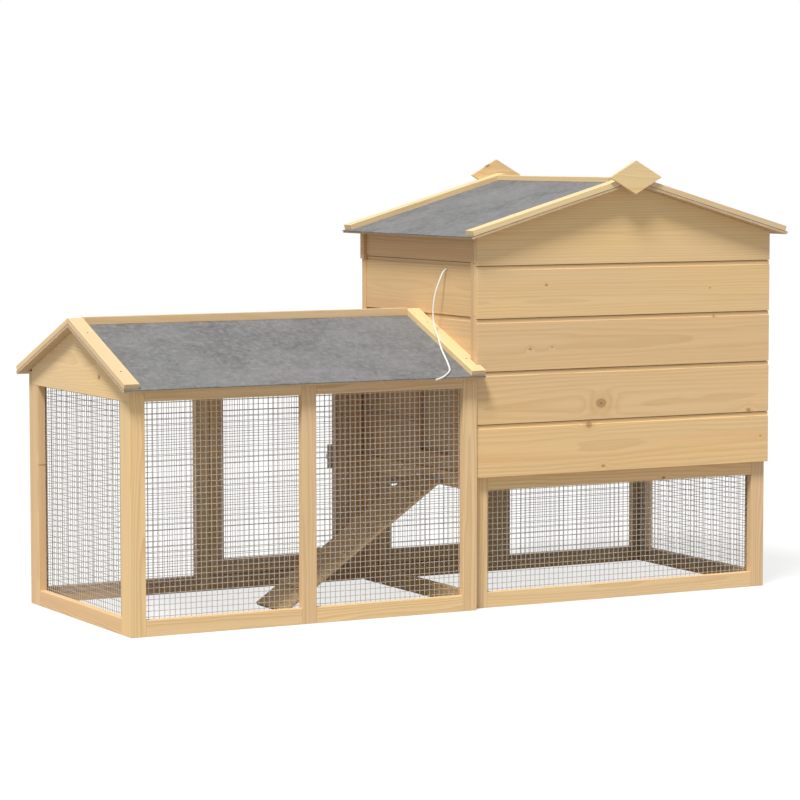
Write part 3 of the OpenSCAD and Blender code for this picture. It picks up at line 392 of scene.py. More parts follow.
def oiled_fir(name, early, late_wood, ring=0.0042, depth=0.5, share=0.4, knot=0.006, listed=()):
    """Bare fir of one shade. listed holds knots at set places: centre and size."""
    finish, shader = paint(name)
    tree = finish.node_tree
    lay = wire_up(tree, "ShaderNodeAttribute", {"attribute_name": "grain"})
    tone = wire_up(tree, "ShaderNodeAttribute", {"attribute_name": "tone"})
    spotted = wire_up(tree, "ShaderNodeGroup", {"node_tree": knots}, Grain=lay.outputs["Vector"],
                      Share=share, Size=knot)
    here = wire_up(tree, "ShaderNodeTexCoord")
    for centre, across in listed:
        spotted = wire_up(tree, "ShaderNodeGroup", {"node_tree": single},
                          Place=here.outputs["Object"], Centre=centre, Size=across,
                          Knot=spotted.outputs["Knot"], Swell=spotted.outputs["Swell"])
    wood = wire_up(tree, "ShaderNodeGroup", {"node_tree": fir}, Grain=lay.outputs["Vector"],
                   Tone=tone.outputs["Fac"], Ring_Width=ring, Ring_Depth=depth,
                   Knot=spotted.outputs["Knot"], Swell=spotted.outputs["Swell"],
                   Early_Wood=(*early, 1), Late_Wood=(*late_wood, 1),
                   Heartwood=(early[0] * 0.97, early[1] * 0.84, early[2] * 0.78, 1),
                   Heart=(0.20, 0.085, 0.030, 1))
    tree.links.new(wood.outputs["Color"], shader.inputs["Base Color"])
    tree.links.new(wood.outputs["Roughness"], shader.inputs["Roughness"])
    bump = wire_up(tree, "ShaderNodeBump", Strength=0.35, Distance=0.0006,
                   Height=wood.outputs["Height"])
    tree.links.new(bump.outputs[0], shader.inputs["Normal"])
    shader.inputs["Specular IOR Level"].default_value = 0.35
    return finish


frame_fir = oiled_fir("frame_fir", (0.75, 0.53, 0.29), (0.56, 0.335, 0.145), 0.0035, 0.6, 0.22,
                      0.0038)
for node in ("run_front_frame", "run_end_frame", "run_gable_board", "run_rear_frame"):
    fit(sawn(node, frame_fir), node)

# ------------------------------------------------------------------ wire mesh
# Galvanised wires welded into half-inch squares, cut to size and stapled to the laths' inner
# faces. The uprights lie against the wood and the level wires cross behind them.

wire = 0.0015
mesh_square = 0.0127
wire_waver = 0.0008
wire_off_wood = 0.0001
staple_wire = 0.0012
staple_crown = 0.010
staple_spacing = 0.075
staple_lap = 0.007
staple_off_wood = 2.1 * wire

galvanised, shader = paint("galvanised_wire")
tree = galvanised.node_tree
here = wire_up(tree, "ShaderNodeTexCoord").outputs["Object"]
spangle = stirred(tree, here, 260.0, 3.0, 0.6)
crust = stirred(tree, here, 1500.0, 2.0)
tree.links.new(mixed(tree, spangle, (0.53, 0.51, 0.475, 1), (0.86, 0.825, 0.77, 1)),
               shader.inputs["Base Color"])
tree.links.new(sums(tree, "MULTIPLY_ADD", crust, 0.3, 0.3), shader.inputs["Roughness"])
bump = wire_up(tree, "ShaderNodeBump", Strength=0.3, Distance=0.0002, Height=crust)
tree.links.new(bump.outputs[0], shader.inputs["Normal"])
shader.inputs["Metallic"].default_value = 0.85


def geometry_group(name, inputs):
    """An empty geometry tree with named inputs, and its two ends."""
    tree = bpy.data.node_groups.new(name, "GeometryNodeTree")
    kinds = {"length": "NodeSocketFloat", "count": "NodeSocketInt", "finish": "NodeSocketMaterial"}
    tree.interface.new_socket("Geometry", in_out="INPUT", socket_type="NodeSocketGeometry")
    for label, kind in inputs:
        tree.interface.new_socket(label, in_out="INPUT", socket_type=kinds[kind])
    tree.interface.new_socket("Geometry", in_out="OUTPUT", socket_type="NodeSocketGeometry")
    return tree, tree.nodes.new("NodeGroupInput"), tree.nodes.new("NodeGroupOutput")


def grow(name, base, tree, **values):
    """Runs a geometry tree on a mesh and gives the plain mesh it makes."""
    holder = bpy.data.objects.new(name, base)
    scene.collection.objects.link(holder)
    modifier = holder.modifiers.new(name, "NODES")
    modifier.node_group = tree
    for item in tree.interface.items_tree:
        label = item.name.replace(" ", "_").lower()
        if item.in_out == "INPUT" and label in values:
            modifier[item.identifier] = values[label]
    view = bpy.context.evaluated_depsgraph_get()
    plain = bpy.data.meshes.new_from_object(holder.evaluated_get(view))
    bpy.data.objects.remove(holder)
    plain.name = name
    return plain


def shown(name, mesh, body):
    """An object for a finished mesh, riding on a body."""
    piece = bpy.data.objects.new(name, mesh)
    scene.collection.objects.link(piece)
    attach(piece, body)
    return piece


weave, ends, out = geometry_group(
    "welded_mesh", [("Width", "length"), ("Height", "length"), ("Square", "length"),
                    ("Wire", "length"), ("Waver", "length"), ("Seed", "count"),
                    ("Finish", "finish")])
size = ends.outputs


def mesh_sum(operation, a, b=0.0):
    """One sum in the mesh tree."""
    return wire_up(weave, "ShaderNodeMath", {"operation": operation}, in0=a, in1=b).outputs[0]


def wires(span, reach, step_vector, line_vector, shift):
    """Parallel wires: how far the rank spans, how long each is, and both directions."""
    count = mesh_sum("ADD", mesh_sum("FLOOR", mesh_sum("DIVIDE", span, size["Square"])), 1.0)
    margin = mesh_sum("MULTIPLY", mesh_sum("SUBTRACT", span, mesh_sum(
        "MULTIPLY", mesh_sum("SUBTRACT", count, 1.0), size["Square"])), 0.5)
    step = wire_up(weave, "ShaderNodeCombineXYZ", **{step_vector: size["Square"]})
    start = wire_up(weave, "ShaderNodeCombineXYZ", **{step_vector: margin, "Y": shift})
    rank = wire_up(weave, "GeometryNodeMeshLine", Count=count, Start_Location=start.outputs[0],
                   Offset=step.outputs[0])
    far = wire_up(weave, "ShaderNodeCombineXYZ", **{line_vector: reach})
    line = wire_up(weave, "GeometryNodeCurvePrimitiveLine", End=far.outputs[0])
    placed_lines = wire_up(weave, "GeometryNodeInstanceOnPoints", Points=rank.outputs[0],
                           Instance=line.outputs[0])
    return wire_up(weave, "GeometryNodeRealizeInstances", Geometry=placed_lines.outputs[0]).outputs[0]


uprights = wires(size["Width"], size["Height"], "X", "Z", 0.0)
levels = wires(size["Height"], size["Width"], "Z", "X", mesh_sum("MULTIPLY", size["Wire"], 0.9))
both = weave.nodes.new("GeometryNodeJoinGeometry")
weave.links.new(uprights, both.inputs[0])
weave.links.new(levels, both.inputs[0])
bent = wire_up(weave, "GeometryNodeResampleCurve", {"mode": "LENGTH"}, Curve=both.outputs[0])
bent.inputs["Length"].default_value = 2 * mesh_square
where = weave.nodes.new("GeometryNodeInputPosition")
wobble = wire_up(weave, "ShaderNodeTexNoise", {"noise_dimensions": "4D"},
                 Vector=where.outputs[0], W=size["Seed"], Scale=9.0, Detail=1.0)
centred = wire_up(weave, "ShaderNodeVectorMath", {"operation": "SUBTRACT"},
                  in0=wobble.outputs["Color"], in1=(0.5, 0.5, 0.5))
scaled = wire_up(weave, "ShaderNodeVectorMath", {"operation": "SCALE"}, in0=centred.outputs[0])
weave.links.new(size["Waver"], scaled.inputs["Scale"])
flat_shift = wire_up(weave, "ShaderNodeVectorMath", {"operation": "MULTIPLY"},
                     in0=scaled.outputs[0], in1=(1.0, 0.25, 1.0))
waved = wire_up(weave, "GeometryNodeSetPosition", Geometry=bent.outputs[0],
                Offset=flat_shift.outputs[0])
round_wire = wire_up(weave, "GeometryNodeCurvePrimitiveCircle", Resolution=6)
weave.links.new(mesh_sum("MULTIPLY", size["Wire"], 0.5), round_wire.inputs["Radius"])
solid_wire = wire_up(weave, "GeometryNodeCurveToMesh", Curve=waved.outputs[0],
                     Profile_Curve=round_wire.outputs[0], Fill_Caps=True)
smooth = wire_up(weave, "GeometryNodeSetShadeSmooth", Geometry=solid_wire.outputs[0])
real = wire_up(weave, "GeometryNodeRealizeInstances", Geometry=smooth.outputs[0])
finished = wire_up(weave, "GeometryNodeSetMaterial", Geometry=real.outputs[0])
weave.links.new(size["Finish"], finished.inputs["Material"])
weave.links.new(finished.outputs[0], out.inputs[0])

# Staples with a wire crown, shot over a wire at every hand's breadth round each opening
stapling, ends, out = geometry_group(
    "staples", [("Width", "length"), ("Height", "length"), ("Spacing", "length"),
                ("Crown", "length"), ("Seed", "count"), ("Finish", "finish")])
edge_line = wire_up(stapling, "GeometryNodeCurvePrimitiveQuadrilateral")
stapling.links.new(ends.outputs["Width"], edge_line.inputs["Width"])
stapling.links.new(ends.outputs["Height"], edge_line.inputs["Height"])
spots = wire_up(stapling, "GeometryNodeCurveToPoints")
spots.mode = "LENGTH"
stapling.links.new(edge_line.outputs[0], spots.inputs["Curve"])
stapling.links.new(ends.outputs["Spacing"], spots.inputs["Length"])
crown = wire_up(stapling, "GeometryNodeMeshCylinder", Vertices=6,
                Radius=staple_wire / 2)
stapling.links.new(ends.outputs["Crown"], crown.inputs["Depth"])
lying = wire_up(stapling, "GeometryNodeTransform", Geometry=crown.outputs[0])
lying.inputs["Rotation"].default_value = (math.radians(90), 0, 0)
askew = stapling.nodes.new("FunctionNodeRandomValue")
askew.data_type = "FLOAT"
askew_low, askew_high = [s for s in askew.inputs if s.enabled and s.name in ("Min", "Max")]
askew_low.default_value, askew_high.default_value = -0.5, 0.5
stapling.links.new(ends.outputs["Seed"], askew.inputs["Seed"])
turn = wire_up(stapling, "ShaderNodeCombineXYZ")
stapling.links.new([s for s in askew.outputs if s.enabled][0], turn.inputs["Z"])
shot = wire_up(stapling, "GeometryNodeInstanceOnPoints", Points=spots.outputs[0],
               Instance=lying.outputs[0])
stapling.links.new(turn.outputs[0], shot.inputs["Rotation"])
real = wire_up(stapling, "GeometryNodeRealizeInstances", Geometry=shot.outputs[0])
finished = wire_up(stapling, "GeometryNodeSetMaterial", Geometry=real.outputs[0])
stapling.links.new(ends.outputs["Finish"], finished.inputs["Material"])
stapling.links.new(finished.outputs[0], out.inputs[0])

empty_mesh = bpy.data.meshes.new("start")


def hang_mesh(node, seed):
    """Welded mesh and its staples in place of a CAD mesh node."""
    low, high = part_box(node)
    across_x = high.x - low.x > high.y - low.y
    width = (high.x - low.x) if across_x else (high.y - low.y)
    height = high.z - low.z
    middle = (low + high) / 2
    inward = {"run_front_mesh": 1, "run_end_mesh": 1, "ground_front_mesh": 1}.get(node, -1)
    mesh = grow(f"welded_{node}", empty_mesh, weave, width=width, height=height,
                square=mesh_square, wire=wire, waver=wire_waver, seed=seed, finish=galvanised)
    if across_x:
        wood = low.y if inward > 0 else high.y
        seat = Matrix.Translation((low.x, wood + inward * (wire / 2 + wire_off_wood), low.z))
        seat = seat @ Matrix.Diagonal((1, inward, 1, 1))
    else:
        wood = low.x if inward > 0 else high.x
        seat = Matrix.Translation((wood + inward * (wire / 2 + wire_off_wood), low.y, low.z))
        seat = seat @ Matrix(((0, inward, 0, 0), (1, 0, 0, 0), (0, 0, 1, 0), (0, 0, 0, 1)))
    mesh.transform(seat)
    if seat.determinant() < 0:
        mesh.flip_normals()
    piece = shown(f"welded_{node}", mesh, nodes[node]["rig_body"])
    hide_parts(node)
    tacks = grow(f"staples_{node}", empty_mesh, stapling, width=width - 2 * staple_lap,
                 height=height - 2 * staple_lap, spacing=staple_spacing, crown=staple_crown,
                 seed=seed, finish=galvanised)
    if across_x:
        seat = Matrix.Translation((middle.x, wood + inward * staple_off_wood, middle.z))
        seat = seat @ Matrix.Rotation(math.radians(90), 4, "X")
    else:
        seat = Matrix.Translation((wood + inward * staple_off_wood, middle.y, middle.z))
        seat = seat @ Matrix.Rotation(math.radians(90), 4, "Z")
        seat = seat @ Matrix.Rotation(math.radians(90), 4, "X")
    tacks.transform(seat)
    shown(f"staples_{node}", tacks, nodes[node]["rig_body"])


for seed, node in enumerate(("run_front_mesh", "run_end_mesh", "run_rear_mesh")):
    hang_mesh(node, seed)

# ------------------------------------------------------------------ run roof
# Two plywood sheets meet at the ridge, one piece of mineral felt folds over them, and bare
# planks screwed through both hold the felt down at the two ends.

ply_ease = 0.0004

ply, shader = paint("raw_plywood")
tree = ply.node_tree
lay = wire_up(tree, "ShaderNodeAttribute", {"attribute_name": "grain"}).outputs["Vector"]
parts = wire_up(tree, "ShaderNodeSeparateXYZ", in0=lay)
plies = eased(tree, sums(tree, "FRACT", sums(tree, "MULTIPLY", parts.outputs[2], 600.0)), 0.4, 0.6)
splinter = stirred(tree, placed(tree, "MULTIPLY", lay, (260.0, 260.0, 700.0)), 1.0, 3.0, 0.7)
face_grain = stirred(tree, placed(tree, "MULTIPLY", lay, (3.0, 120.0, 120.0)), 1.0, 3.0, 0.6)
base = mixed(tree, face_grain, (0.66, 0.47, 0.27, 1), (0.50, 0.33, 0.17, 1))
base = mixed(tree, sums(tree, "MULTIPLY", plies, 0.25), base, (0.36, 0.22, 0.11, 1))
base = mixed(tree, eased(tree, splinter, 0.55, 0.7), base, (0.84, 0.72, 0.53, 1))
tree.links.new(base, shader.inputs["Base Color"])
tree.links.new(sums(tree, "MULTIPLY_ADD", splinter, 0.2, 0.65), shader.inputs["Roughness"])
bump = wire_up(tree, "ShaderNodeBump", Strength=0.5, Distance=0.0006, Height=splinter)
tree.links.new(bump.outputs[0], shader.inputs["Normal"])

for node in ("run_roof_front_sheet", "run_roof_rear_sheet"):
    fit(sawn(node, ply, ply_ease), node)

# Mineral felt: matted fibres under a thin coat of slate dust, darker where it is rubbed
felt, shader = paint("mineral_felt")
tree = felt.node_tree
here = wire_up(tree, "ShaderNodeTexCoord").outputs["Object"]
cloud = stirred(tree, here, 9.0, 4.0, 0.6)
mottle = stirred(tree, here, 70.0, 4.0, 0.65)
crease_lay = placed(tree, "MULTIPLY", here, (16.0, 90.0, 90.0))
strand = stirred(tree, crease_lay, 1.0, 5.0, 0.75)
strand_b = stirred(tree, placed(tree, "MULTIPLY", here, (150.0, 40.0, 60.0)), 1.0, 4.0, 0.7)
dust = stirred(tree, here, 900.0, 2.0, 0.7)
tint = mixed(tree, eased(tree, cloud, 0.3, 0.7), (0.105, 0.105, 0.107, 1), (0.165, 0.165, 0.168, 1))
tint = mixed(tree, eased(tree, mottle, 0.35, 0.75, 0.0, 0.7), tint, (0.225, 0.225, 0.228, 1))
tint = mixed(tree, eased(tree, strand, 0.55, 0.75, 0.0, 0.6), tint, (0.32, 0.32, 0.322, 1))
tint = mixed(tree, eased(tree, strand_b, 0.58, 0.72, 0.0, 0.7), tint, (0.065, 0.065, 0.068, 1))
tint = mixed(tree, eased(tree, dust, 0.52, 0.75, 0.0, 0.5), tint, (0.36, 0.36, 0.36, 1))
tree.links.new(tint, shader.inputs["Base Color"])
tree.links.new(sums(tree, "MULTIPLY_ADD", dust, 0.15, 0.8), shader.inputs["Roughness"])
relief = sums(tree, "ADD", sums(tree, "MULTIPLY", strand, 0.5), sums(tree, "MULTIPLY", dust, 0.6))
bump = wire_up(tree, "ShaderNodeBump", Strength=0.6, Distance=0.0007, Height=relief)
tree.links.new(bump.outputs[0], shader.inputs["Normal"])
shader.inputs["Sheen Weight"].default_value = 0.1
shader.inputs["Specular IOR Level"].default_value = 0.25


felt_cell = 0.022
felt_cuts = 9
felt_unevenness = 0.00025


def lay_felt(node):
    """The felt of one roof: the CAD sheet finely divided, a little uneven over the boards."""
    bm = bmesh.new()
    bm.from_mesh(nodes[node].data)
    bmesh.ops.remove_doubles(bm, verts=bm.verts, dist=weld_gap)
    bmesh.ops.dissolve_limit(bm, angle_limit=flat_angle, verts=bm.verts, edges=bm.edges)
    bmesh.ops.triangulate(bm, faces=bm.faces)
    for _ in range(felt_cuts):
        long_edges = [e for e in bm.edges if e.calc_length() > felt_cell]
        if not long_edges:
            break
        bmesh.ops.subdivide_edges(bm, edges=long_edges, cuts=1)
        bmesh.ops.triangulate(bm, faces=[f for f in bm.faces if len(f.verts) > 3])
    for v in bm.verts:
        lift = math.sin(v.co.x * 31 + v.co.y * 17) * math.sin(v.co.y * 43 - v.co.x * 9)
        v.co.z += felt_unevenness * lift
    mesh = bpy.data.meshes.new(f"laid_{node}")
    bm.to_mesh(mesh)
    bm.free()
    mesh.materials.append(felt)
    piece = bpy.data.objects.new(f"laid_{node}", mesh)
    scene.collection.objects.link(piece)
    fit(piece, node)


lay_felt("run_felt")

plank_fir = oiled_fir("plank_fir", (0.73, 0.55, 0.31), (0.58, 0.39, 0.185), 0.0038, 0.55, 0.30,
                      0.0042)
for node in ("run_roof_planks", "run_ridge_strip"):
    fit(sawn(node, plank_fir), node)

# ------------------------------------------------------------------ ground level
# Four lath frames carry the house, meshed like the run, with rails at the way through and a
# narrow strip over the upright joint at the rear.

for node in ("ground_front_frame", "ground_end_frame", "ground_rear_frame", "partition_rails",
             "rear_cover_strip"):
    fit(sawn(node, frame_fir, seed=3), node)
for seed, node in enumerate(("ground_front_mesh", "ground_end_mesh", "ground_rear_mesh")):
    hang_mesh(node, seed + 5)

# ------------------------------------------------------------------ house walls
# Lapped fir boards, each cut back along its top to a shadow line, nailed to battens inside.

board_knots = (
    ((0.207, -0.293, 0.745), 0.0030), ((0.660, -0.293, 0.729), 0.0022),
    ((0.164, -0.293, 0.598), 0.0030), ((0.223, -0.293, 0.600), 0.0022),
    ((0.672, -0.293, 0.661), 0.0028), ((0.357, -0.293, 0.465), 0.0095),
    ((0.324, -0.293, 0.415), 0.0060), ((0.773, -0.293, 0.432), 0.0042),
    ((0.363, -0.293, 0.317), 0.0034), ((0.808, -0.293, 0.368), 0.0024),
)
board_fir = oiled_fir("board_fir", (0.72, 0.495, 0.260), (0.60, 0.385, 0.175), 0.0060, 0.6, 0.0,
                      0.004, board_knots)
fit(sawn("house_front_boards", board_fir), "house_front_boards")
# Painted shade: this fir is the front boards' fir made about a tenth darker, to hold down the side
# walls that the lamp from the left lights more strongly; the rear, inner, door and tray pieces share
# it.
side_fir = oiled_fir("side_fir", (0.66, 0.44, 0.235), (0.53, 0.33, 0.15), 0.0055, 0.6, 0.22,
                     0.0036)
for node in ("house_left_boards", "house_right_boards", "house_wall_battens",
             "house_rear_frame", "house_rear_boards", "house_rear_gable"):
    fit(sawn(node, side_fir), node)
fit(sawn("house_floor", ply, ply_ease), "house_floor")

# ------------------------------------------------------------------ house roof
# Built as the run's roof, with the planks along the gables and a rhombus over each joint.

for node in ("house_roof_left_sheet", "house_roof_right_sheet"):
    fit(sawn(node, ply, ply_ease), node)
lay_felt("house_felt")
for node in ("house_roof_planks", "house_ridge_strip"):
    fit(sawn(node, plank_fir), node)
fit(sawn("gable_diamonds", plank_fir), "gable_diamonds")

# ------------------------------------------------------------------ doors, tray and ramp
# Doors are lath frames, meshed below and boarded above. The bedding tray is a folded zinc
# pan behind a wooden front, and the ramp is one wide board with cleats nailed across it.

for node in ("run_door_frame", "ground_door_frame", "house_door_frame"):
    fit(sawn(node, frame_fir, seed=1), node)
fit(sawn("house_door_boards", side_fir), "house_door_boards")
for seed, node in enumerate(("run_door_mesh", "ground_door_mesh")):
    hang_mesh(node, seed + 11)
for node in ("tray_runners", "tray_front", "pop_door_slides"):
    fit(sawn(node, side_fir, seed=2), node)
fit(sawn("pop_door", ply, ply_ease), "pop_door")
ramp_fir = oiled_fir("ramp_fir", (0.70, 0.49, 0.265), (0.52, 0.315, 0.14), 0.0050, 0.6, 0.35,
                     0.0055)
fit(sawn("ramp_board", ramp_fir), "ramp_board")
fit(sawn("ramp_cleats", plank_fir), "ramp_cleats")

# ------------------------------------------------------------------ ironwork
# Butt hinges, barrel bolts, keepers, the tray and the screw eye are zinc-plated steel. Every
# screw has a countersunk head with a cross recess.

zinc, shader = paint("zinc_plate")
tree = zinc.node_tree
here = wire_up(tree, "ShaderNodeTexCoord").outputs["Object"]
bloom = stirred(tree, here, 45.0, 4.0, 0.6)
scuff = stirred(tree, here, 700.0, 3.0, 0.7)
tint = mixed(tree, eased(tree, bloom, 0.3, 0.7), (0.58, 0.60, 0.62, 1), (0.78, 0.78, 0.76, 1))
tint = mixed(tree, eased(tree, scuff, 0.6, 0.75, 0.0, 0.35), tint, (0.40, 0.41, 0.42, 1))
tree.links.new(tint, shader.inputs["Base Color"])
tree.links.new(sums(tree, "MULTIPLY_ADD", bloom, 0.25, 0.24), shader.inputs["Roughness"])
bump = wire_up(tree, "ShaderNodeBump", Strength=0.2, Distance=0.0002, Height=scuff)
tree.links.new(bump.outputs[0], shader.inputs["Normal"])
shader.inputs["Metallic"].default_value = 0.9

iron = ("hinge_fixed_halves", "bolt_keepers", "run_door_fittings", "run_door_bolt",
        "ground_door_fittings", "ground_door_bolt", "house_door_fittings", "house_door_bolt",
        "pop_door_eye", "ramp_hinges", "tray_pan")
for node in iron:
    nodes[node].data.materials.clear()
    nodes[node].data.materials.append(zinc)


roof_head_radius = 0.0042
leaf_head_radius = 0.0027
recess_corners = 12


def screw_head(radius):
    """A countersunk head with a cross recess, its top at height 0 facing +Z."""
    bm = bmesh.new()
    sides = 16
    arm, reach, depth = 0.16 * radius, 0.55 * radius, 0.45 * radius
    rim = [bm.verts.new((radius * math.cos(math.tau * k / sides),
                         radius * math.sin(math.tau * k / sides), -0.04 * radius))
           for k in range(sides)]
    inner = [bm.verts.new((0.88 * v.co.x, 0.88 * v.co.y, 0)) for v in rim]
    shank = [bm.verts.new((0.5 * v.co.x, 0.5 * v.co.y, -0.6 * radius)) for v in rim]
    for k in range(sides):
        n = (k + 1) % sides
        bm.faces.new((rim[k], rim[n], inner[n], inner[k]))
        bm.faces.new((shank[k], shank[n], rim[n], rim[k]))
    bm.faces.new(list(reversed(shank)))
    corners = []
    for turn in range(4):
        a = math.pi / 2 * turn
        for x, y in ((reach, -arm), (reach, arm), (arm, arm)):
            corners.append((x * math.cos(a) - y * math.sin(a), x * math.sin(a) + y * math.cos(a)))
    cross = [bm.verts.new((x, y, 0)) for x, y in corners]
    pit = [bm.verts.new((0.7 * x, 0.7 * y, -depth)) for x, y in corners]
    for k in range(recess_corners):
        n = (k + 1) % recess_corners
        bm.faces.new((cross[n], cross[k], pit[k], pit[n]))
    bm.faces.new(pit)
    loops = [e for e in bm.edges if e.is_boundary]
    bmesh.ops.triangle_fill(bm, edges=loops, use_beauty=True, use_dissolve=False)
    bmesh.ops.recalc_face_normals(bm, faces=bm.faces)
    mesh = bpy.data.meshes.new("screw_head")
    bm.to_mesh(mesh)
    bm.free()
    mesh.materials.append(zinc)
    return mesh


driving, ends, out = geometry_group("driven_screws", [("Seed", "count"), ("Finish", "finish")])
driving.interface.new_socket("Head", in_out="INPUT", socket_type="NodeSocketObject")
head_info = driving.nodes.new("GeometryNodeObjectInfo")
driving.links.new(ends.outputs["Head"], head_info.inputs["Object"])
facing = wire_up(driving, "GeometryNodeInputNamedAttribute", {"data_type": "FLOAT_VECTOR"},
                 Name="facing")
upright = wire_up(driving, "FunctionNodeAlignRotationToVector", {"axis": "Z"})
driving.links.new(facing.outputs[0], upright.inputs["Vector"])
spin = driving.nodes.new("FunctionNodeRandomValue")
spin.data_type = "FLOAT"
spin_low, spin_high = [s for s in spin.inputs if s.enabled and s.name in ("Min", "Max")]
spin_low.default_value, spin_high.default_value = 0.0, math.pi
driving.links.new(ends.outputs["Seed"], spin.inputs["Seed"])
spun = wire_up(driving, "ShaderNodeCombineXYZ")
driving.links.new([s for s in spin.outputs if s.enabled][0], spun.inputs["Z"])
turned = wire_up(driving, "FunctionNodeRotateRotation", {"rotation_space": "LOCAL"})
driving.links.new(upright.outputs[0], turned.inputs[0])
driving.links.new(spun.outputs[0], turned.inputs[1])
driven = wire_up(driving, "GeometryNodeInstanceOnPoints", Points=ends.outputs["Geometry"],
                 Instance=head_info.outputs["Geometry"])
driving.links.new(turned.outputs[0], driven.inputs["Rotation"])
real = wire_up(driving, "GeometryNodeRealizeInstances", Geometry=driven.outputs[0])
finished = wire_up(driving, "GeometryNodeSetMaterial", Geometry=real.outputs[0])
driving.links.new(ends.outputs["Finish"], finished.inputs["Material"])
driving.links.new(finished.outputs[0], out.inputs[0])


def drive(name, body, radius, places, replaced=None, seed=0, metal=zinc):
    """Screws of one size at places, each a point and the way its head faces."""
    head = bpy.data.objects.new("head", screw_head(radius))
    scene.collection.objects.link(head)
    spots_mesh = bpy.data.meshes.new(f"spots_{name}")
    spots_mesh.from_pydata([tuple(p) for p, _ in places], [], [])
    spots_mesh.attributes.new("facing", "FLOAT_VECTOR", "POINT").data.foreach_set(
        "vector", [c for _, f in places for c in f])
    mesh = grow(name, spots_mesh, driving, seed=seed, finish=metal, head=head)
    bpy.data.objects.remove(head)
    piece = shown(name, mesh, body)
    if replaced:
        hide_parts(replaced)


def solid_boxes(node):
    """Lowest and highest corner of each separate solid of a CAD node, and its points."""
    bm = bmesh.new()
    bm.from_mesh(nodes[node].data)
    bmesh.ops.remove_doubles(bm, verts=bm.verts, dist=weld_gap)
    bm.verts.index_update()
    for group in islands(bm):
        points = np.array([v.co for v in group])
        yield points.min(0), points.max(0), points
    bm.free()


# Roof screws sit in the countersinks of the planks. Their zinc is browned to keep them from rust
browned, shader = paint("browned_screw")
tree = browned.node_tree
here = wire_up(tree, "ShaderNodeTexCoord").outputs["Object"]
wear = stirred(tree, here, 900.0, 3.0, 0.6)
tree.links.new(mixed(tree, eased(tree, wear, 0.4, 0.7), (0.055, 0.042, 0.030, 1),
                     (0.150, 0.120, 0.090, 1)), shader.inputs["Base Color"])
tree.links.new(sums(tree, "MULTIPLY_ADD", wear, 0.3, 0.35), shader.inputs["Roughness"])
shader.inputs["Metallic"].default_value = 0.6
head_proud = 0.0003
roof_heads = []
for _, _, points in solid_boxes("roof_screws"):
    _, _, rows = np.linalg.svd(points - points.mean(0), full_matrices=False)
    out_way = rows[0] * np.sign(rows[0][2])
    top = points[np.argmax(points @ out_way)]
    foot = points.mean(0)
    tip = foot + out_way * ((top - foot) @ out_way)
    roof_heads.append((tip + out_way * head_proud, out_way))
drive("roof_screw_heads", "hutch", roof_head_radius, roof_heads, "roof_screws", seed=4,
      metal=browned)

# Three screws in each hinge leaf, four in each bolt plate and two in each keeper
leaf_rise = 0.018
leaf_heights = (0.04, 0.06)
leaf_least_width = 0.015
leaf_edge = 0.010
leaf_stagger = 0.004
leaf_face = 0.00125
plate_face = 0.00155
plate_widths = (0.02, 0.05)
plate_least_height = 0.025
plate_least_depth = 0.009
plate_edge = 0.007
plate_share = 0.36
rearward = Vector((0, 1, 0))


def leaf_screws(node, side):
    """Screw places on the flat leaves of a hinge node; side is -1 on a fixed leaf."""
    for low, high, _ in solid_boxes(node):
        span = high - low
        if not leaf_heights[0] <= span[2] <= leaf_heights[1] or span[0] < leaf_least_width:
            continue
        x = low[0] + leaf_edge if side < 0 else high[0] - leaf_edge
        face = low[1] + leaf_face
        for k in (-1, 0, 1):
            inset = 0.0 if k else leaf_stagger * side
            yield Vector((x + inset, face, (low[2] + high[2]) / 2 + k * leaf_rise)), rearward


def plate_screws(node, points_across):
    """Screw places in the plates of a bolt or keeper node."""
    for low, high, _ in solid_boxes(node):
        span = high - low
        if not plate_widths[0] < span[0] < plate_widths[1]:
            continue
        if span[1] < plate_least_depth or span[2] < plate_least_height:
            continue
        flat = low[1] + plate_face
        for sx in points_across:
            for sz in (-1, 1):
                yield (Vector(((low[0] + high[0]) / 2 + sx * span[0] * plate_share, flat,
                               (low[2] + high[2]) / 2 + sz * (span[2] / 2 - plate_edge))),
                       rearward)


drive("fixed_leaf_screws", "hutch", leaf_head_radius,
      list(leaf_screws("hinge_fixed_halves", -1)) + list(plate_screws("bolt_keepers", (1,))))
for door in ("run_door", "ground_door", "house_door"):
    places = list(leaf_screws(f"{door}_fittings", 1))
    places += list(plate_screws(f"{door}_fittings", (-1, 1)))
    drive(f"{door}_screws", door, leaf_head_radius, places)

# ------------------------------------------------------------------ pull cord
# One white braided cord lifts the pop door: it is tied to the screw eye, leaves the wall
# through a bored hole and lies over the run's roof, its cut end hanging at the eave.

cord_radius = 0.002
cord_sides = 16
plait_pitch = 0.0045
plaits_round = 3.0

braid, shader = paint("white_braid")
tree = braid.node_tree
turns = wire_up(tree, "ShaderNodeAttribute", {"attribute_name": "braid"})
course = wire_up(tree, "ShaderNodeSeparateXYZ", in0=turns.outputs["Vector"])
one_way = sums(tree, "ADD", course.outputs[0], course.outputs[1])
other_way = sums(tree, "SUBTRACT", course.outputs[0], course.outputs[1])
ridge_a = sums(tree, "SINE", sums(tree, "MULTIPLY", one_way, math.tau))
ridge_b = sums(tree, "SINE", sums(tree, "MULTIPLY", other_way, math.tau))
plait = sums(tree, "MAXIMUM", ridge_a, ridge_b)
# The hollows between the plaits are painted grey and the crowns white: painted shade in the grooves
# of the white cord, on top of the bump.
tint = mixed(tree, eased(tree, plait, 0.0, 0.9), (0.60, 0.60, 0.57, 1), (0.92, 0.92, 0.90, 1))
tree.links.new(tint, shader.inputs["Base Color"])
bump = wire_up(tree, "ShaderNodeBump", Strength=0.6, Distance=0.0003, Height=plait)
tree.links.new(bump.outputs[0], shader.inputs["Normal"])
shader.inputs["Roughness"].default_value = 0.7
shader.inputs["Sheen Weight"].default_value = 0.3


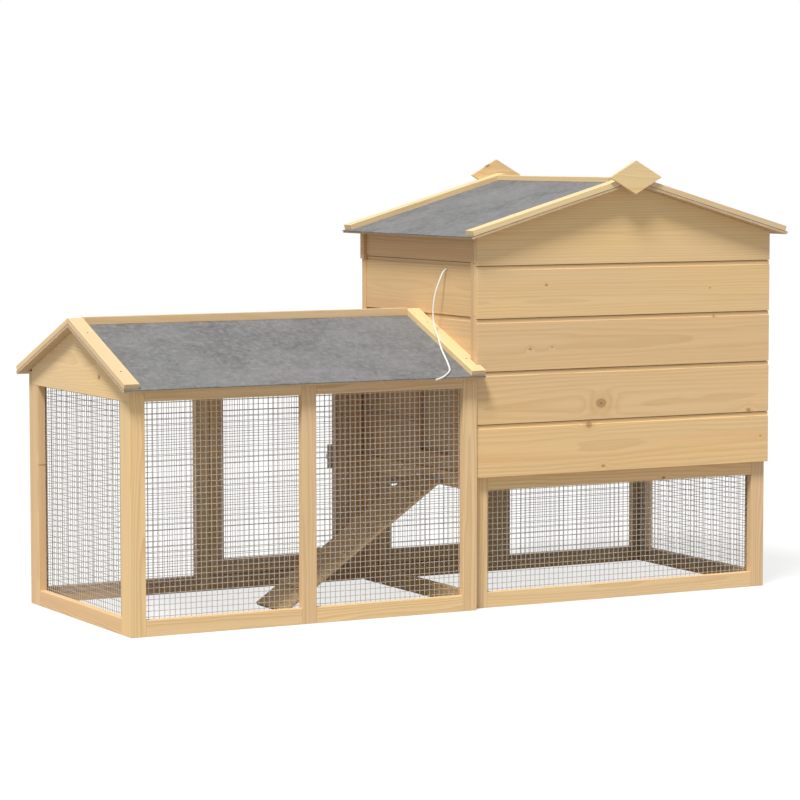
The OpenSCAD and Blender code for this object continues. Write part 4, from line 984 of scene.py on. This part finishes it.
def braid_tube(name, line):
    """A round cord swept along a smooth line of points, with closed ends and plait turns."""
    points = [Vector(p) for p in line]
    along, turn = 0.0, None
    plaits, verts, faces = [], [], []
    for k, p in enumerate(points):
        way = (points[min(k + 1, len(points) - 1)] - points[max(k - 1, 0)]).normalized()
        turn = way.orthogonal() if turn is None else (turn - way * turn.dot(way))
        turn.normalize()
        side = way.cross(turn)
        along += (p - points[k - 1]).length if k else 0.0
        for s in range(cord_sides):
            a = math.tau * s / cord_sides
            verts.append(p + cord_radius * (math.cos(a) * turn + math.sin(a) * side))
            plaits.append((along / plait_pitch, plaits_round * s / cord_sides, 0.0))
    for k in range(len(points) - 1):
        for s in range(cord_sides):
            n = (s + 1) % cord_sides
            faces.append((k * cord_sides + s, k * cord_sides + n,
                          (k + 1) * cord_sides + n, (k + 1) * cord_sides + s))
    last = (len(points) - 1) * cord_sides
    faces.append(tuple(reversed(range(cord_sides))))
    faces.append(tuple(last + s for s in range(cord_sides)))
    mesh = bpy.data.meshes.new(name)
    mesh.from_pydata(verts, [], faces)
    mesh.attributes.new("braid", "FLOAT_VECTOR", "POINT").data.foreach_set(
        "vector", [c for t in plaits for c in t])
    for face in mesh.polygons:
        face.use_smooth = len(face.vertices) == 4
    mesh.materials.append(braid)
    return mesh


def through(route, steps):
    """A smooth line through a route's points."""
    route = [Vector(p) for p in route]
    line = []
    for k in range(len(route) - 1):
        a, b = route[max(k - 1, 0)], route[k]
        c, d = route[k + 1], route[min(k + 2, len(route) - 1)]
        for step in range(steps):
            t = step / steps
            line.append(0.5 * (2 * b + (c - a) * t + (2 * a - 5 * b + 4 * c - d) * t * t
                               + (3 * b - a - 3 * c + d) * t ** 3))
    return line + [route[-1]]


outer_route = (
    (0.04675, -0.134, 0.78), (0.03675, -0.134, 0.78), (0.02975, -0.134, 0.7795),
    (0.02175, -0.133, 0.772), (0.01375, -0.132, 0.754), (0.00475, -0.129, 0.727),
    (-0.00025, -0.127, 0.695), (-0.00125, -0.128, 0.665), (-0.00125, -0.138, 0.64011),
    (-0.00325, -0.151, 0.62795), (-0.00645, -0.163, 0.62078), (-0.00975, -0.174, 0.61082),
    (-0.01525, -0.195, 0.59568), (-0.02525, -0.229, 0.58159), (-0.03625, -0.263, 0.56809),
    (-0.04925, -0.294, 0.55578), (-0.07025, -0.315, 0.54765), (-0.08825, -0.326, 0.54248),
    (-0.10525, -0.332, 0.5391),
)
outer_line = through(outer_route, 8)
outer_length = sum((b - a).length for a, b in zip(outer_line, outer_line[1:]))
pull_cord = shown("pull_cord", braid_tube("pull_cord", outer_line), "hutch")
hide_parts("outer_cord")

bend_run, bend_rise = 0.022, 0.078
end_clearance = 0.0005
low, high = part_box("inner_cord")
inner_x = (low.x + high.x) / 2
inner_line = through(((inner_x, high.y - cord_radius, low.z + end_clearance),
                      (inner_x, high.y - bend_run, low.z + bend_rise),
                      (inner_x, low.y + bend_run, high.z - bend_rise),
                      (inner_x, low.y + cord_radius, high.z - end_clearance)), 6)
lift_cord = shown("lift_cord", braid_tube("lift_cord", inner_line), "hutch")
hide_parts("inner_cord")
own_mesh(lift_cord)
